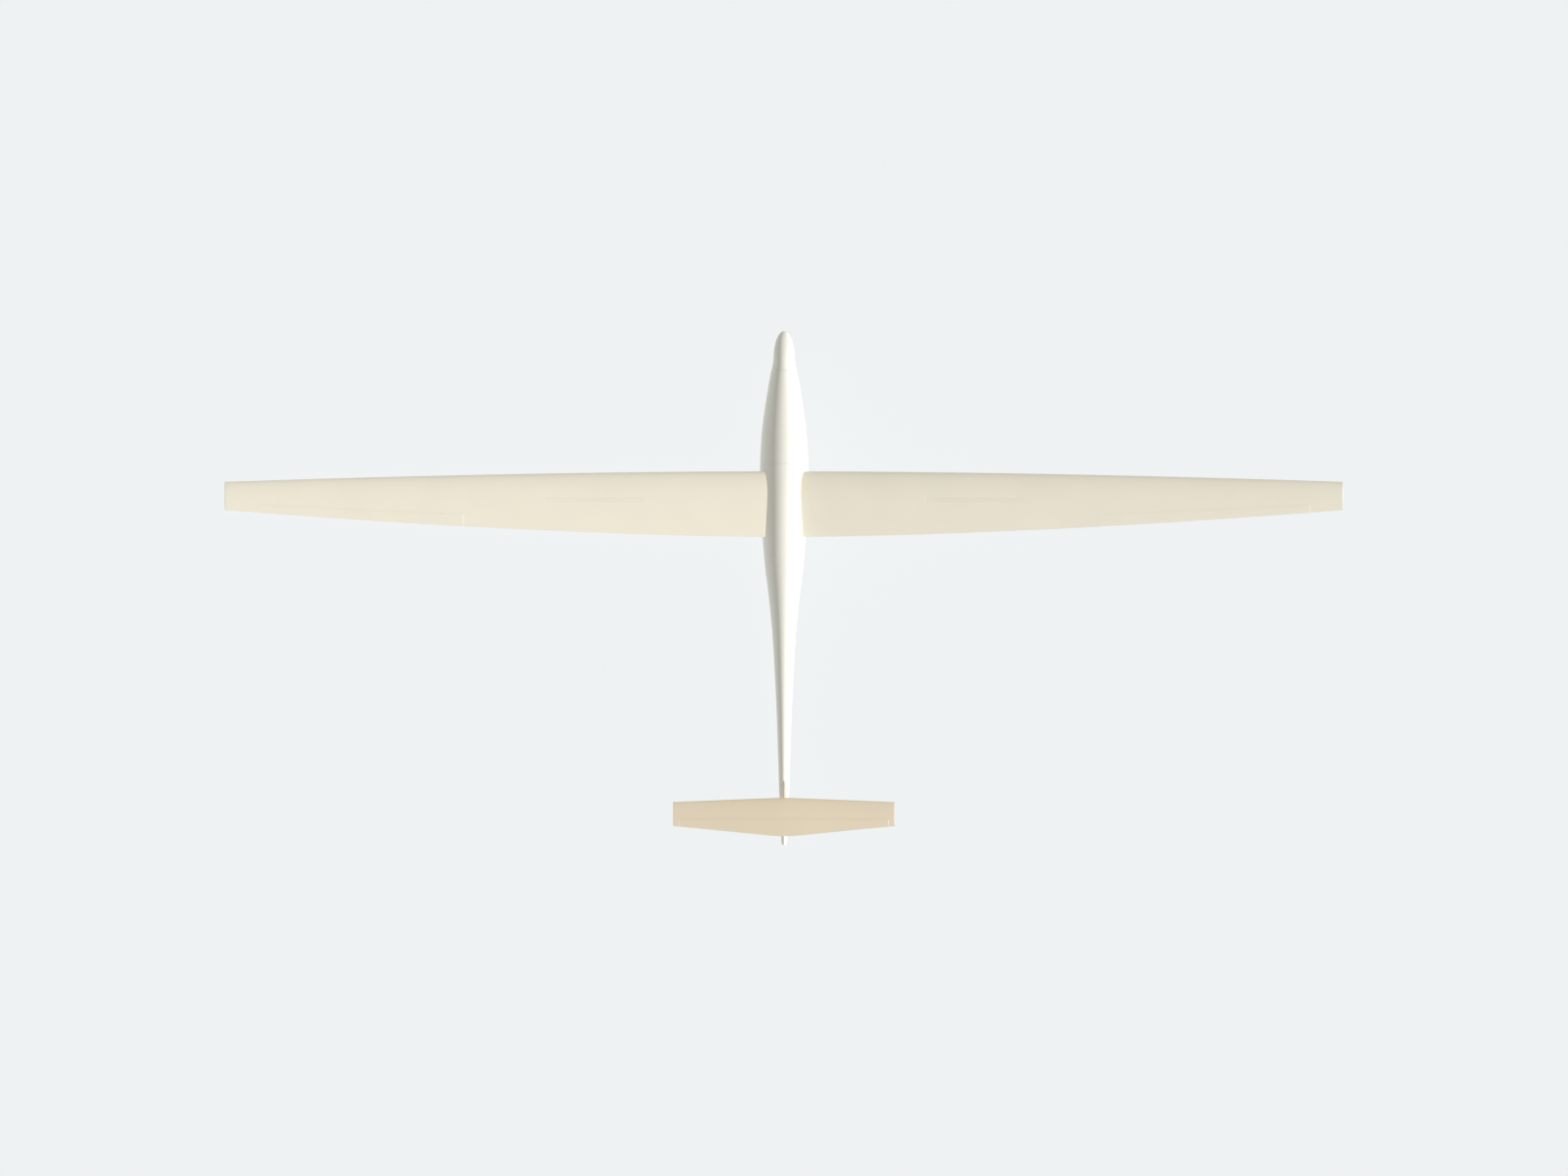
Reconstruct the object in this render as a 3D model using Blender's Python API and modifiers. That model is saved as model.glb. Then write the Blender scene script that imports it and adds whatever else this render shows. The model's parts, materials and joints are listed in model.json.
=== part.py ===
"""Single-seat sailplane of 15 m span with a T-tail, built as separate solids and parked on its wheels.

Aircraft axes: X towards the right wing, Y forward, Z up, in metres. A station is a distance aft of the nose,
so a station s lies at Y = -s. Z is 0 at the hull's widest line. One empty turns all of it into the parked
attitude: both wheels and the left tip skid on the ground, which is at Z = 0 of the finished model.
"""

import math

import bmesh
import bpy
import numpy as np
from mathutils import Matrix, Vector

# Room between pieces
SEAT = 0.0003
ROOM = 0.005
RIDGE_SHIFT = 0.0001

# Hull: half-width, top and bottom as (station, value) pairs. Ahead of the nose length the half-width and
# the top shrink as an ellipse, and the widest line falls by the nose's drop.
NOSE_LENGTH = 0.37
NOSE_HALF_WIDTH = 0.1415
NOSE_DROP = 0.04
BELLY_STATION = 1.90
BELLY_DEPTH = 0.35
BELLY_POWER = 0.7
HULL_WIDTHS = (
    (0.37, 0.1415), (0.42, 0.147), (0.55, 0.175), (0.76, 0.214), (0.97, 0.248), (1.18, 0.278),
    (1.50, 0.309), (1.90, 0.325), (2.30, 0.315), (2.84, 0.283), (3.16, 0.255), (3.47, 0.217),
    (3.79, 0.181), (4.10, 0.154), (4.58, 0.125), (5.13, 0.099), (5.81, 0.077), (6.23, 0.064), (6.888, 0.033),
)
HULL_TOPS = (
    (0.0, 0.095), (0.37, 0.168), (0.80, 0.252), (1.20, 0.322), (1.60, 0.378), (1.90, 0.408), (2.15, 0.418),
    (2.45, 0.402), (2.75, 0.355), (3.10, 0.300), (3.60, 0.240), (4.20, 0.180), (5.00, 0.132), (6.00, 0.098),
    (6.888, 0.064),
)
HULL_BOTTOMS = (
    (1.90, -0.39), (2.25, -0.375), (2.70, -0.300), (3.10, -0.240), (3.60, -0.180), (4.20, -0.128),
    (5.00, -0.080), (6.00, -0.050), (6.888, -0.014),
)
HULL_SIDES = 40
HULL_LENGTH = 6.888
NOSE_JOINT = 0.40
TUB_REAR = 1.84
BOOM_JOINT = 3.05
HULL_WALL = 0.015
CAVITY_FRONT = 0.46
SHELL_STATIONS = tuple(np.linspace(NOSE_JOINT, TUB_REAR, 15))
CENTRE_STATIONS = tuple(np.linspace(TUB_REAR + SEAT, BOOM_JOINT, 11))
BOOM_STATIONS = (
    BOOM_JOINT + SEAT, 3.25, 3.47, 3.79, 4.1, 4.4, 4.8, 5.2, 5.6, 6.0, 6.23, 6.45, 6.67, HULL_LENGTH,
)

# Canopy opening in the side view: a level sill, round lower corners and ends that lean together
SILL_HEIGHT = 0.10
CANOPY_FRONT = 0.52
CANOPY_REAR = 1.795
CANOPY_SEAM = 0.002
CANOPY_CORNER = 0.05
CANOPY_LEAN = 0.03
CANOPY_TOP = 0.52

# Canopy hinges, in a frame whose Z runs along the pin and whose X points up
CANOPY_HINGE_STATIONS = (1.30, 1.70)
CANOPY_PIN_PROUD = 0.010
CANOPY_PIN_RADIUS = 0.0025
CANOPY_PIN_LENGTH = 0.036
BARREL_RADIUS = 0.006
BARREL_LENGTH = 0.010
BARREL_SHIFT = 0.014
BRACKET_LOW = (-0.036, -0.030, -0.0205)
BRACKET_HIGH = (-0.009, 0.0045, 0.0205)
ARM_LOW = (-0.012, -0.004, -0.0046)
ARM_HIGH = (0.0, 0.0042, 0.0046)
LUG_LOW = (0.0035, -0.030, -0.0072)
LUG_HIGH = (0.034, 0.0045, 0.0072)
LUG_BARREL_LENGTH = 0.015

# Cockpit: seat lines as (station, height), the rest as corners of boxes
SEAT_SHELL = 0.014
SEAT_WIDTH = 0.9
SEAT_PAN = ((1.02, -0.205), (1.12, -0.225), (1.25, -0.262), (1.36, -0.268), (1.44, -0.240))
SEAT_BACK = ((1.452, -0.228), (1.52, -0.150), (1.59, -0.040), (1.65, 0.060), (1.69, 0.088))
HEADREST = ((-0.10, -1.755, 0.11), (0.10, -1.70, 0.235))
HEADREST_POST = ((-0.03, -TUB_REAR, 0.135), (0.03, -1.74, 0.20))
HEADREST_ROUND = 0.018
PANEL = ((-0.15, -0.92, -0.03), (0.15, -0.80, 0.145))
PANEL_PEDESTAL = ((-0.05, -0.905, -0.5), (0.05, -0.815, -0.01))
PANEL_ROUND = 0.02
STICK_STATION = 0.98
STICK_BOOT_RADIUS = 0.035
STICK_BOOT_LENGTH = 0.5
STICK_BOOT_TOP = -0.25
STICK_SHAFT = ((0, -0.98, -0.27), (0, -0.985, -0.15), (0, -1.0, -0.06), (0, -1.005, 0.0))
STICK_SHAFT_RADIUS = 0.010
STICK_GRIP_CENTRE = (0, -1.005, 0.01)
STICK_GRIP_RADIUS = 0.017
STICK_GRIP_LENGTH = 0.10
PEDAL_BAR = ((-0.4, -0.632, -0.122), (0.4, -0.618, -0.108))
PEDAL_OFFSET = 0.075
PEDAL = ((-0.04, -0.640, -0.15), (0.04, -0.625, -0.02))

# Wing
HALF_SPAN = 7.5
ROOT_LEAD = 1.880
ROOT_TRAIL = 2.762
TIP_LEAD_SWEEP = 0.142
TIP_TRAIL_SWEEP = 0.363
LEAD_POWER = 1.8
TRAIL_POWER = 1.65
WING_HEIGHT = 0.197
DIHEDRAL = math.radians(2.75)
ROOT_INCIDENCE = math.radians(3.0)
TIP_INCIDENCE = math.radians(1.0)
ROOT_THICKNESS = 0.16
TIP_THICKNESS = 0.13
WING_CAMBER = 0.03
TIP_JOINT = 7.2
WING_SPANS = (0.10, 0.60, 1.20, 1.85, 2.55, 3.25, 3.80, 4.30, 4.90, 5.50, 6.10, 6.70, TIP_JOINT)
TIP_SPANS = (TIP_JOINT + SEAT, 7.35, 7.46, 7.49, HALF_SPAN)
TIP_FULLNESS = (1.0, 1.0, 1.0, 0.93, 0.72)
SECTION_POINTS = 13
AILERON_START = 4.30
AILERON_END = 7.05
AILERON_CHORD_SHARE = 0.78
AILERON_SPANS = (AILERON_START, 4.90, 5.50, 6.10, 6.70, AILERON_END)
AILERON_HINGES = (4.6, 5.7, 6.8)

# Tip skid in the side view, measured from the chord line
SKID_SPAN = 7.35
SKID_CHORD_SHARE = 0.42
SKID_HALF_LENGTH = 0.11
SKID_CURVE = 0.155
SKID_CURVE_RISE = 0.045
SKID_THICKNESS = 0.016
SKID_GUIDE_RISE = 0.05
SKID_GUIDE_SPANS = (7.25, 7.45)

# Airbrakes, in a frame whose X runs along the wing and whose Z is the way that the blade rises
BRAKE_MIDDLE = 2.55
BRAKE_STATION = 2.26
BRAKE_LIFT = 0.016
BRAKE_LENGTH = 1.30
BRAKE_SLOT = 0.034
BRAKE_FLOOR = -0.037
BRAKE_RAIL_TOP = -0.031
BLADE_THICKNESS = 0.014
BLADE_BOTTOM = -0.025
CAP_WIDTH = 0.024
CAP_BOTTOM = 0.044
CAP_OVERLAP = 0.0001
ABOVE_SKIN = 0.11
BRAKE_ROD_SHIFTS = (-0.4, 0.4)
BRAKE_ROD_RADIUS = 0.003
BRAKE_ROD_LENGTH = 0.072
BRAKE_BORE_LENGTH = 0.10
BRAKE_BORE_DROP = 0.008

# Tail
TAIL_HEIGHT = 1.22
TAIL_HALF_SPAN = 1.479
TAIL_LEAD = 6.2575
TAIL_TRAIL = 6.776
TAIL_LEAD_SWEEP = 0.058
TAIL_TRAIL_SWEEP = 0.137
TAIL_SPANS = (0.045, 0.15, 0.40, 0.75, 1.10, 1.385, 1.45, 1.472, TAIL_HALF_SPAN)
TAIL_FULLNESS = (1.0, 1.0, 1.0, 1.0, 1.0, 1.0, 1.0, 0.93, 0.75)
TAIL_LEAD_POWER = 1.05
TAIL_TRAIL_POWER = 0.85
TAIL_APEX = 0.16
TAIL_ROOT_THICKNESS = 0.12
TAIL_TIP_THICKNESS = 0.10
ELEVATOR_HINGE = 6.555
ELEVATOR_END = 1.40
ELEVATOR_HINGES = (-1.15, -0.45, 0.45, 1.15)
FIN_LEAD = 6.005
FIN_LEAD_SWEEP = 0.295
FIN_TRAIL = 6.765
FIN_TRAIL_SWEEP = -0.03
FIN_THICKNESS = 0.092
FIN_HEIGHTS = (0.0, 0.25, 0.50, 0.75, 1.0, 1.213)
FIN_TOP_SPANS = (-0.15, -0.045, 0.045, 0.15)
RUDDER_HINGE = 6.52
RUDDER_HEIGHTS = (0.10, 0.35, 0.60, 0.85, 1.13)
RUDDER_CUT = (-0.02, 1.30)
RUDDER_HINGES = (0.25, 0.95)

# Control surfaces: what their coves cut beyond the wing's skin, and their hinges
COVE_AFT = 0.03
COVE_REACH = 0.04
PIN_RADIUS = 0.003
LUG_RADIUS = 0.007
LUG_THICKNESS = 0.005
LUG_ROOT = 0.014
LUG_SLOT_SIDE = 0.002
PIN_OVERHANG = 0.010

# Wheels: station and height of the axle, radii of tyre, rim and axle, and the well's two corners
MAIN_WHEEL = {
    "station": 2.12, "height": -0.345, "radius": 0.18, "half_width": 0.062, "rim": 0.085, "axle": 0.012,
    "leg": 0.011, "well": ((-0.092, -2.34, -0.5), (0.092, -1.90, -0.135)),
}
TAIL_WHEEL = {
    "station": 6.35, "height": -0.095, "radius": 0.10, "half_width": 0.024, "rim": 0.055, "axle": 0.0075,
    "leg": 0.004, "well": ((-0.034, -6.465, -0.2), (0.034, -6.235, 0.018)),
}
AXLE_ROOM = 0.0006
TURNED_STEPS = 36
FRAME_REACH = 0.25
FRAME_DROP = 0.16

# Turned profiles: radius as a share of the tyre's wall or of the rim, and width as a share of the half-width
TYRE_PROFILE = ((0.0, 0.72), (0.30, 0.95), (0.55, 1.0), (0.80, 0.88), (0.95, 0.50))
HUB_PROFILE = ((0.36, 0.60), (0.42, 0.25), (0.80, 0.25), (0.86, 0.66))
HUB_BORE_WIDTH = 0.60
HUB_EDGE_WIDTH = 0.70

# Tow hook under the tub
HOOK = ((-0.016, -1.70, -0.43), (0.016, -1.60, -0.30))
HOOK_EYE = (0, -1.625, -0.413)
HOOK_EYE_RADIUS = 0.008

# Parked attitude: the first guess of pitch and roll, and the step of the slopes, in radians
FIRST_ATTITUDE = (0.075, -0.13)
ATTITUDE_STEP = 0.0005

# Finishes: colour, roughness, metallic
FINISHES = {
    "gelcoat": ((0.84, 0.82, 0.73), 0.45, 0.0),
    "wing_paint": ((0.80, 0.75, 0.62), 0.5, 0.0),
    "tail_paint": ((0.72, 0.62, 0.46), 0.5, 0.0),
    "steel": ((0.45, 0.46, 0.48), 0.35, 1.0),
    "alloy": ((0.70, 0.71, 0.72), 0.35, 1.0),
    "rubber": ((0.03, 0.03, 0.03), 0.8, 0.0),
    "upholstery": ((0.20, 0.19, 0.18), 0.9, 0.0),
    "panel": ((0.05, 0.05, 0.055), 0.6, 0.0),
}

PARTS = bpy.data.collections.new("sailplane")
CUTTERS = bpy.data.collections.new("sailplane_cutters")


def smooth(value, pairs):
    """Monotone cubic curve through (position, value) pairs, so that it never overshoots them."""
    xs, ys = np.array(pairs, float).T
    steps = np.diff(xs)
    slopes = np.diff(ys) / steps
    tangents = np.zeros(len(xs))
    tangents[0], tangents[-1] = slopes[0], slopes[-1]
    for i in range(1, len(xs) - 1):
        if slopes[i - 1] * slopes[i] > 0:
            first = 2 * steps[i] + steps[i - 1]
            second = steps[i] + 2 * steps[i - 1]
            tangents[i] = (first + second) / (first / slopes[i - 1] + second / slopes[i])
    i = int(np.clip(np.searchsorted(xs, value) - 1, 0, len(steps) - 1))
    t = (value - xs[i]) / steps[i]
    return (
        (2 * t**3 - 3 * t**2 + 1) * ys[i]
        + (t**3 - 2 * t**2 + t) * steps[i] * tangents[i]
        + (3 * t**2 - 2 * t**3) * ys[i + 1]
        + (t**3 - t**2) * steps[i] * tangents[i + 1]
    )


def hull_section(station):
    """Half-width, top and bottom of the hull, and the height of its widest line."""
    width, top, line = smooth(station, HULL_WIDTHS), smooth(station, HULL_TOPS), 0.0
    if station < NOSE_LENGTH:
        reach = 1 - station / NOSE_LENGTH
        fullness = math.sqrt(1 - reach**2)
        width = NOSE_HALF_WIDTH * fullness
        line = -NOSE_DROP * reach**2
        top = line + top * fullness
    if station < BELLY_STATION:
        bottom = -NOSE_DROP - BELLY_DEPTH * (1 - (1 - station / BELLY_STATION) ** 2) ** BELLY_POWER
    else:
        bottom = smooth(station, HULL_BOTTOMS)
    return width, top, bottom, line


def hull_ring(station, offset=0.0):
    """Ring of points around the hull, set outward by the offset."""
    width, top, bottom, line = hull_section(station)
    turn = np.linspace(0, 2 * math.pi, HULL_SIDES, endpoint=False)
    rise = np.where(np.sin(turn) > 0, top + offset - line, line - bottom + offset)
    ring = np.empty((HULL_SIDES, 3))
    ring[:, 0] = (width + offset) * np.cos(turn)
    ring[:, 1] = -station
    ring[:, 2] = line + rise * np.sin(turn)
    return ring


def hull_half_width_at(station, height):
    """Half-width of the hull at a height above its widest line."""
    width, top, _, _ = hull_section(station)
    return width * math.sqrt(1 - (height / top) ** 2)


def aerofoil(thickness, camber):
    """Closed section round a unit chord: along the top from the trailing edge to the nose, and back below."""
    turn = np.linspace(0, math.pi, SECTION_POINTS)
    chord = 0.5 * (1 + np.cos(turn))
    half = half_thickness(chord, thickness)
    line = camber_line(chord, camber)
    top = np.column_stack([chord, line + half])
    bottom = np.column_stack([chord, line - half])[::-1][1:]
    return np.vstack([top, bottom])


def half_thickness(chord, thickness):
    """Half the thickness of the section at a share of its chord, blunt at the trailing edge."""
    return 5 * thickness * (
        0.2969 * np.sqrt(chord) - 0.126 * chord - 0.3516 * chord**2 + 0.2843 * chord**3 - 0.1015 * chord**4
    )


def camber_line(chord, camber):
    """Height of the mean line: two parabolas that meet at 40% of the chord."""
    fore = camber / 0.16 * (0.8 * chord - chord**2)
    aft = camber / 0.36 * (0.2 + 0.8 * chord - chord**2)
    return np.where(chord < 0.4, fore, aft)


class Wing:
    """Places wing sections: x is the distance from the centre line, side is +1 on the right."""

    camber = WING_CAMBER

    def __init__(self, side):
        self.side = side

    def chord(self, x):
        """Leading edge's station and the chord."""
        share = abs(x) / HALF_SPAN
        lead = ROOT_LEAD + TIP_LEAD_SWEEP * share**LEAD_POWER
        trail = ROOT_TRAIL - TIP_TRAIL_SWEEP * share**TRAIL_POWER
        return lead, trail - lead

    def thickness(self, x):
        """Thickness as a share of the chord."""
        return ROOT_THICKNESS + (TIP_THICKNESS - ROOT_THICKNESS) * abs(x) / HALF_SPAN

    def place(self, x, shares, heights):
        """Points at chord shares and heights above the chord, both in chords, at span x."""
        lead, chord = self.chord(x)
        tilt = ROOT_INCIDENCE + (TIP_INCIDENCE - ROOT_INCIDENCE) * abs(x) / HALF_SPAN
        back = shares - 0.25
        stations = lead + chord * (0.25 + back * math.cos(tilt) + heights * math.sin(tilt))
        levels = WING_HEIGHT + abs(x) * math.tan(DIHEDRAL)
        levels = levels + chord * (heights * math.cos(tilt) - back * math.sin(tilt))
        return np.column_stack([np.full_like(stations, self.side * x), -stations, levels])

    def ring(self, x, fullness=1.0):
        """Whole section at x, with its thickness times the fullness."""
        outline = aerofoil(self.thickness(x) * fullness, self.camber)
        return self.place(x, outline[:, 0], outline[:, 1])


class Tailplane(Wing):
    """Places tailplane sections; x runs from the left tip to the right tip."""

    camber = 0.0

    def __init__(self, grow=0.0):
        super().__init__(1)
        self.grow = grow

    def chord(self, x):
        """Leading edge's station and the chord, both grown."""
        share = abs(x) / TAIL_HALF_SPAN
        lead = TAIL_LEAD + TAIL_LEAD_SWEEP * share**TAIL_LEAD_POWER
        sweep = (math.hypot(share, TAIL_APEX) - TAIL_APEX) / (math.hypot(1, TAIL_APEX) - TAIL_APEX)
        trail = TAIL_TRAIL - TAIL_TRAIL_SWEEP * sweep**TAIL_TRAIL_POWER
        return lead - self.grow, trail - lead + 2 * self.grow

    def thickness(self, x):
        """Thickness as a share of the chord, grown as far as the chord is."""
        even = TAIL_ROOT_THICKNESS + (TAIL_TIP_THICKNESS - TAIL_ROOT_THICKNESS) * abs(x) / TAIL_HALF_SPAN
        return even + 2.4 * self.grow / self.chord(x)[1]

    def place(self, x, shares, heights):
        """Points of a level surface at span x."""
        lead, chord = self.chord(x)
        levels = TAIL_HEIGHT + chord * heights
        return np.column_stack([np.full_like(shares, x), -lead - chord * shares, levels])


class Fin(Wing):
    """Places fin sections; x is the height above the hull's widest line."""

    camber = 0.0

    def __init__(self):
        super().__init__(1)

    def chord(self, x):
        """Leading edge's station and the chord."""
        share = x / TAIL_HEIGHT
        lead = FIN_LEAD + FIN_LEAD_SWEEP * share
        return lead, FIN_TRAIL + FIN_TRAIL_SWEEP * share - lead

    def thickness(self, x):
        """Thickness as a share of the chord, even over the height."""
        return FIN_THICKNESS

    def place(self, x, shares, heights):
        """Points of an upright surface at height x."""
        lead, chord = self.chord(x)
        return np.column_stack([chord * heights, -lead - chord * shares, np.full_like(shares, x)])


def make_object(name, mesh, finish=None):
    """Object in the model, or a hidden guide when it has no finish."""
    item = bpy.data.objects.new(name, mesh)
    if finish is None:
        CUTTERS.objects.link(item)
        item.hide_render = True
        item.display_type = "WIRE"
        return item
    PARTS.objects.link(item)
    colour, roughness, metallic = FINISHES[finish]
    material = bpy.data.materials.new(name + "_finish")
    material.use_nodes = True
    shader = material.node_tree.nodes["Principled BSDF"]
    shader.inputs["Base Color"].default_value = (*colour, 1)
    shader.inputs["Roughness"].default_value = roughness
    shader.inputs["Metallic"].default_value = metallic
    mesh.materials.append(material)
    mesh.shade_smooth()
    mesh.set_sharp_from_angle(angle=math.radians(35))
    return item


def finished_mesh(name, shape):
    """Mesh from a bmesh, with its faces turned outward."""
    bmesh.ops.recalc_face_normals(shape, faces=shape.faces)
    if shape.calc_volume(signed=True) < 0:
        bmesh.ops.reverse_faces(shape, faces=shape.faces)
    mesh = bpy.data.meshes.new(name)
    shape.to_mesh(mesh)
    shape.free()
    return mesh


def loft(name, rings, finish=None):
    """Closed solid through rings of equal point counts, with a flat cap at each end.

    Each panel between two rings is split along the same diagonal, so two lofts of one skin match.
    """
    shape = bmesh.new()
    rows = [[shape.verts.new(point) for point in ring] for ring in rings]
    count = len(rows[0])
    for low, high in zip(rows, rows[1:]):
        for i in range(count):
            j = (i + 1) % count
            shape.faces.new((low[i], low[j], high[j]))
            shape.faces.new((low[i], high[j], high[i]))
    shape.faces.new(rows[0])
    shape.faces.new(rows[-1])
    return make_object(name, finished_mesh(name, shape), finish)


def box(name, low, high, finish=None, placement=None):
    """Box between two corners, moved by a placement matrix."""
    low, high = Vector(low), Vector(high)
    shape = bmesh.new()
    stretch = Matrix.Diagonal((*(high - low), 1))
    bmesh.ops.create_cube(shape, size=1, matrix=Matrix.Translation((low + high) / 2) @ stretch)
    if placement:
        shape.transform(placement)
    return make_object(name, finished_mesh(name, shape), finish)


def rod(name, radius, length, placement, finish=None, sides=16):
    """Cylinder along the placement's Z axis, centred on its origin."""
    shape = bmesh.new()
    bmesh.ops.create_cone(
        shape, cap_ends=True, segments=sides, radius1=radius, radius2=radius, depth=length, matrix=placement
    )
    return make_object(name, finished_mesh(name, shape), finish)


def turned(name, profile, placement, finish):
    """Ring turned from a closed profile of (radius, height) points about the placement's Z axis."""
    shape = bmesh.new()
    loop = [shape.verts.new((radius, 0, height)) for radius, height in profile]
    edges = [shape.edges.new((loop[i - 1], loop[i])) for i in range(len(loop))]
    whole = {"cent": (0, 0, 0), "axis": (0, 0, 1), "angle": 2 * math.pi}
    bmesh.ops.spin(shape, geom=loop + edges, steps=TURNED_STEPS, use_merge=True, **whole)
    bmesh.ops.remove_doubles(shape, verts=shape.verts, dist=0.00001)
    shape.transform(placement)
    return make_object(name, finished_mesh(name, shape), finish)


def plate(name, outlines, thickness, placement, finish=None):
    """Flat plate with holes: a filled 2D curve, made a mesh. The placement's Z axis is across the plate."""
    curve = bpy.data.curves.new(name + "_outline", "CURVE")
    curve.dimensions = "2D"
    curve.fill_mode = "BOTH"
    curve.extrude = thickness / 2
    for points in outlines:
        spline = curve.splines.new("POLY")
        spline.points.add(len(points) - 1)
        for point, (x, y) in zip(spline.points, points):
            point.co = (x, y, 0, 1)
        spline.use_cyclic_u = True
    source = bpy.data.objects.new(name + "_outline", curve)
    CUTTERS.objects.link(source)
    graph = bpy.context.evaluated_depsgraph_get()
    flat = bpy.data.meshes.new_from_object(source.evaluated_get(graph))
    bpy.data.objects.remove(source)
    shape = bmesh.new()
    shape.from_mesh(flat)
    bmesh.ops.remove_doubles(shape, verts=shape.verts, dist=0.00001)
    shape.transform(placement)
    return make_object(name, finished_mesh(name, shape), finish)


def tube(name, points, radius):
    """Round bar along a path through the points, as a hidden guide."""
    curve = bpy.data.curves.new(name, "CURVE")
    curve.dimensions = "3D"
    curve.bevel_depth = radius
    curve.bevel_resolution = 2
    curve.use_fill_caps = True
    spline = curve.splines.new("POLY")
    spline.points.add(len(points) - 1)
    for point, place in zip(spline.points, points):
        point.co = (*place, 1)
    source = bpy.data.objects.new(name + "_path", curve)
    CUTTERS.objects.link(source)
    graph = bpy.context.evaluated_depsgraph_get()
    skin = bpy.data.meshes.new_from_object(source.evaluated_get(graph))
    bpy.data.objects.remove(source)
    shape = bmesh.new()
    shape.from_mesh(skin)
    bmesh.ops.remove_doubles(shape, verts=shape.verts, dist=0.00001)
    return make_object(name, finished_mesh(name, shape))


def combine(target, operation, *others):
    """Adds one exact Boolean per other object: DIFFERENCE, UNION or INTERSECT."""
    for other in others:
        change = target.modifiers.new(other.name, "BOOLEAN")
        change.operation = operation
        change.solver = "EXACT"
        change.object = other


def arc(radius, start, end, steps, centre=(0, 0)):
    """Points on an arc, with angles in degrees."""
    turns = np.radians(np.linspace(start, end, steps))
    return [(centre[0] + radius * math.cos(t), centre[1] + radius * math.sin(t)) for t in turns]


def frame_along(origin, along, towards):
    """Placement with Z along a direction and X as near as possible to another."""
    z_axis = Vector(along).normalized()
    y_axis = z_axis.cross(Vector(towards)).normalized()
    x_axis = y_axis.cross(z_axis)
    turn = Matrix((x_axis, y_axis, z_axis)).transposed().to_4x4()
    return Matrix.Translation(Vector(origin)) @ turn


def pivot(name, origin, along):
    """Empty on a joint's axis, with its Z along the axis. No axis is parallel to the sideways direction."""
    helper = bpy.data.objects.new(name, None)
    CUTTERS.objects.link(helper)
    helper.matrix_world = frame_along(origin, along, (0.0, 0.6, 0.8))
    return helper


def hang(helper, *items):
    """Parents moving pieces to the empty on their joint's axis, without moving them."""
    for item in items:
        item.parent = helper
        item.matrix_parent_inverse = helper.matrix_world.inverted()


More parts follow.
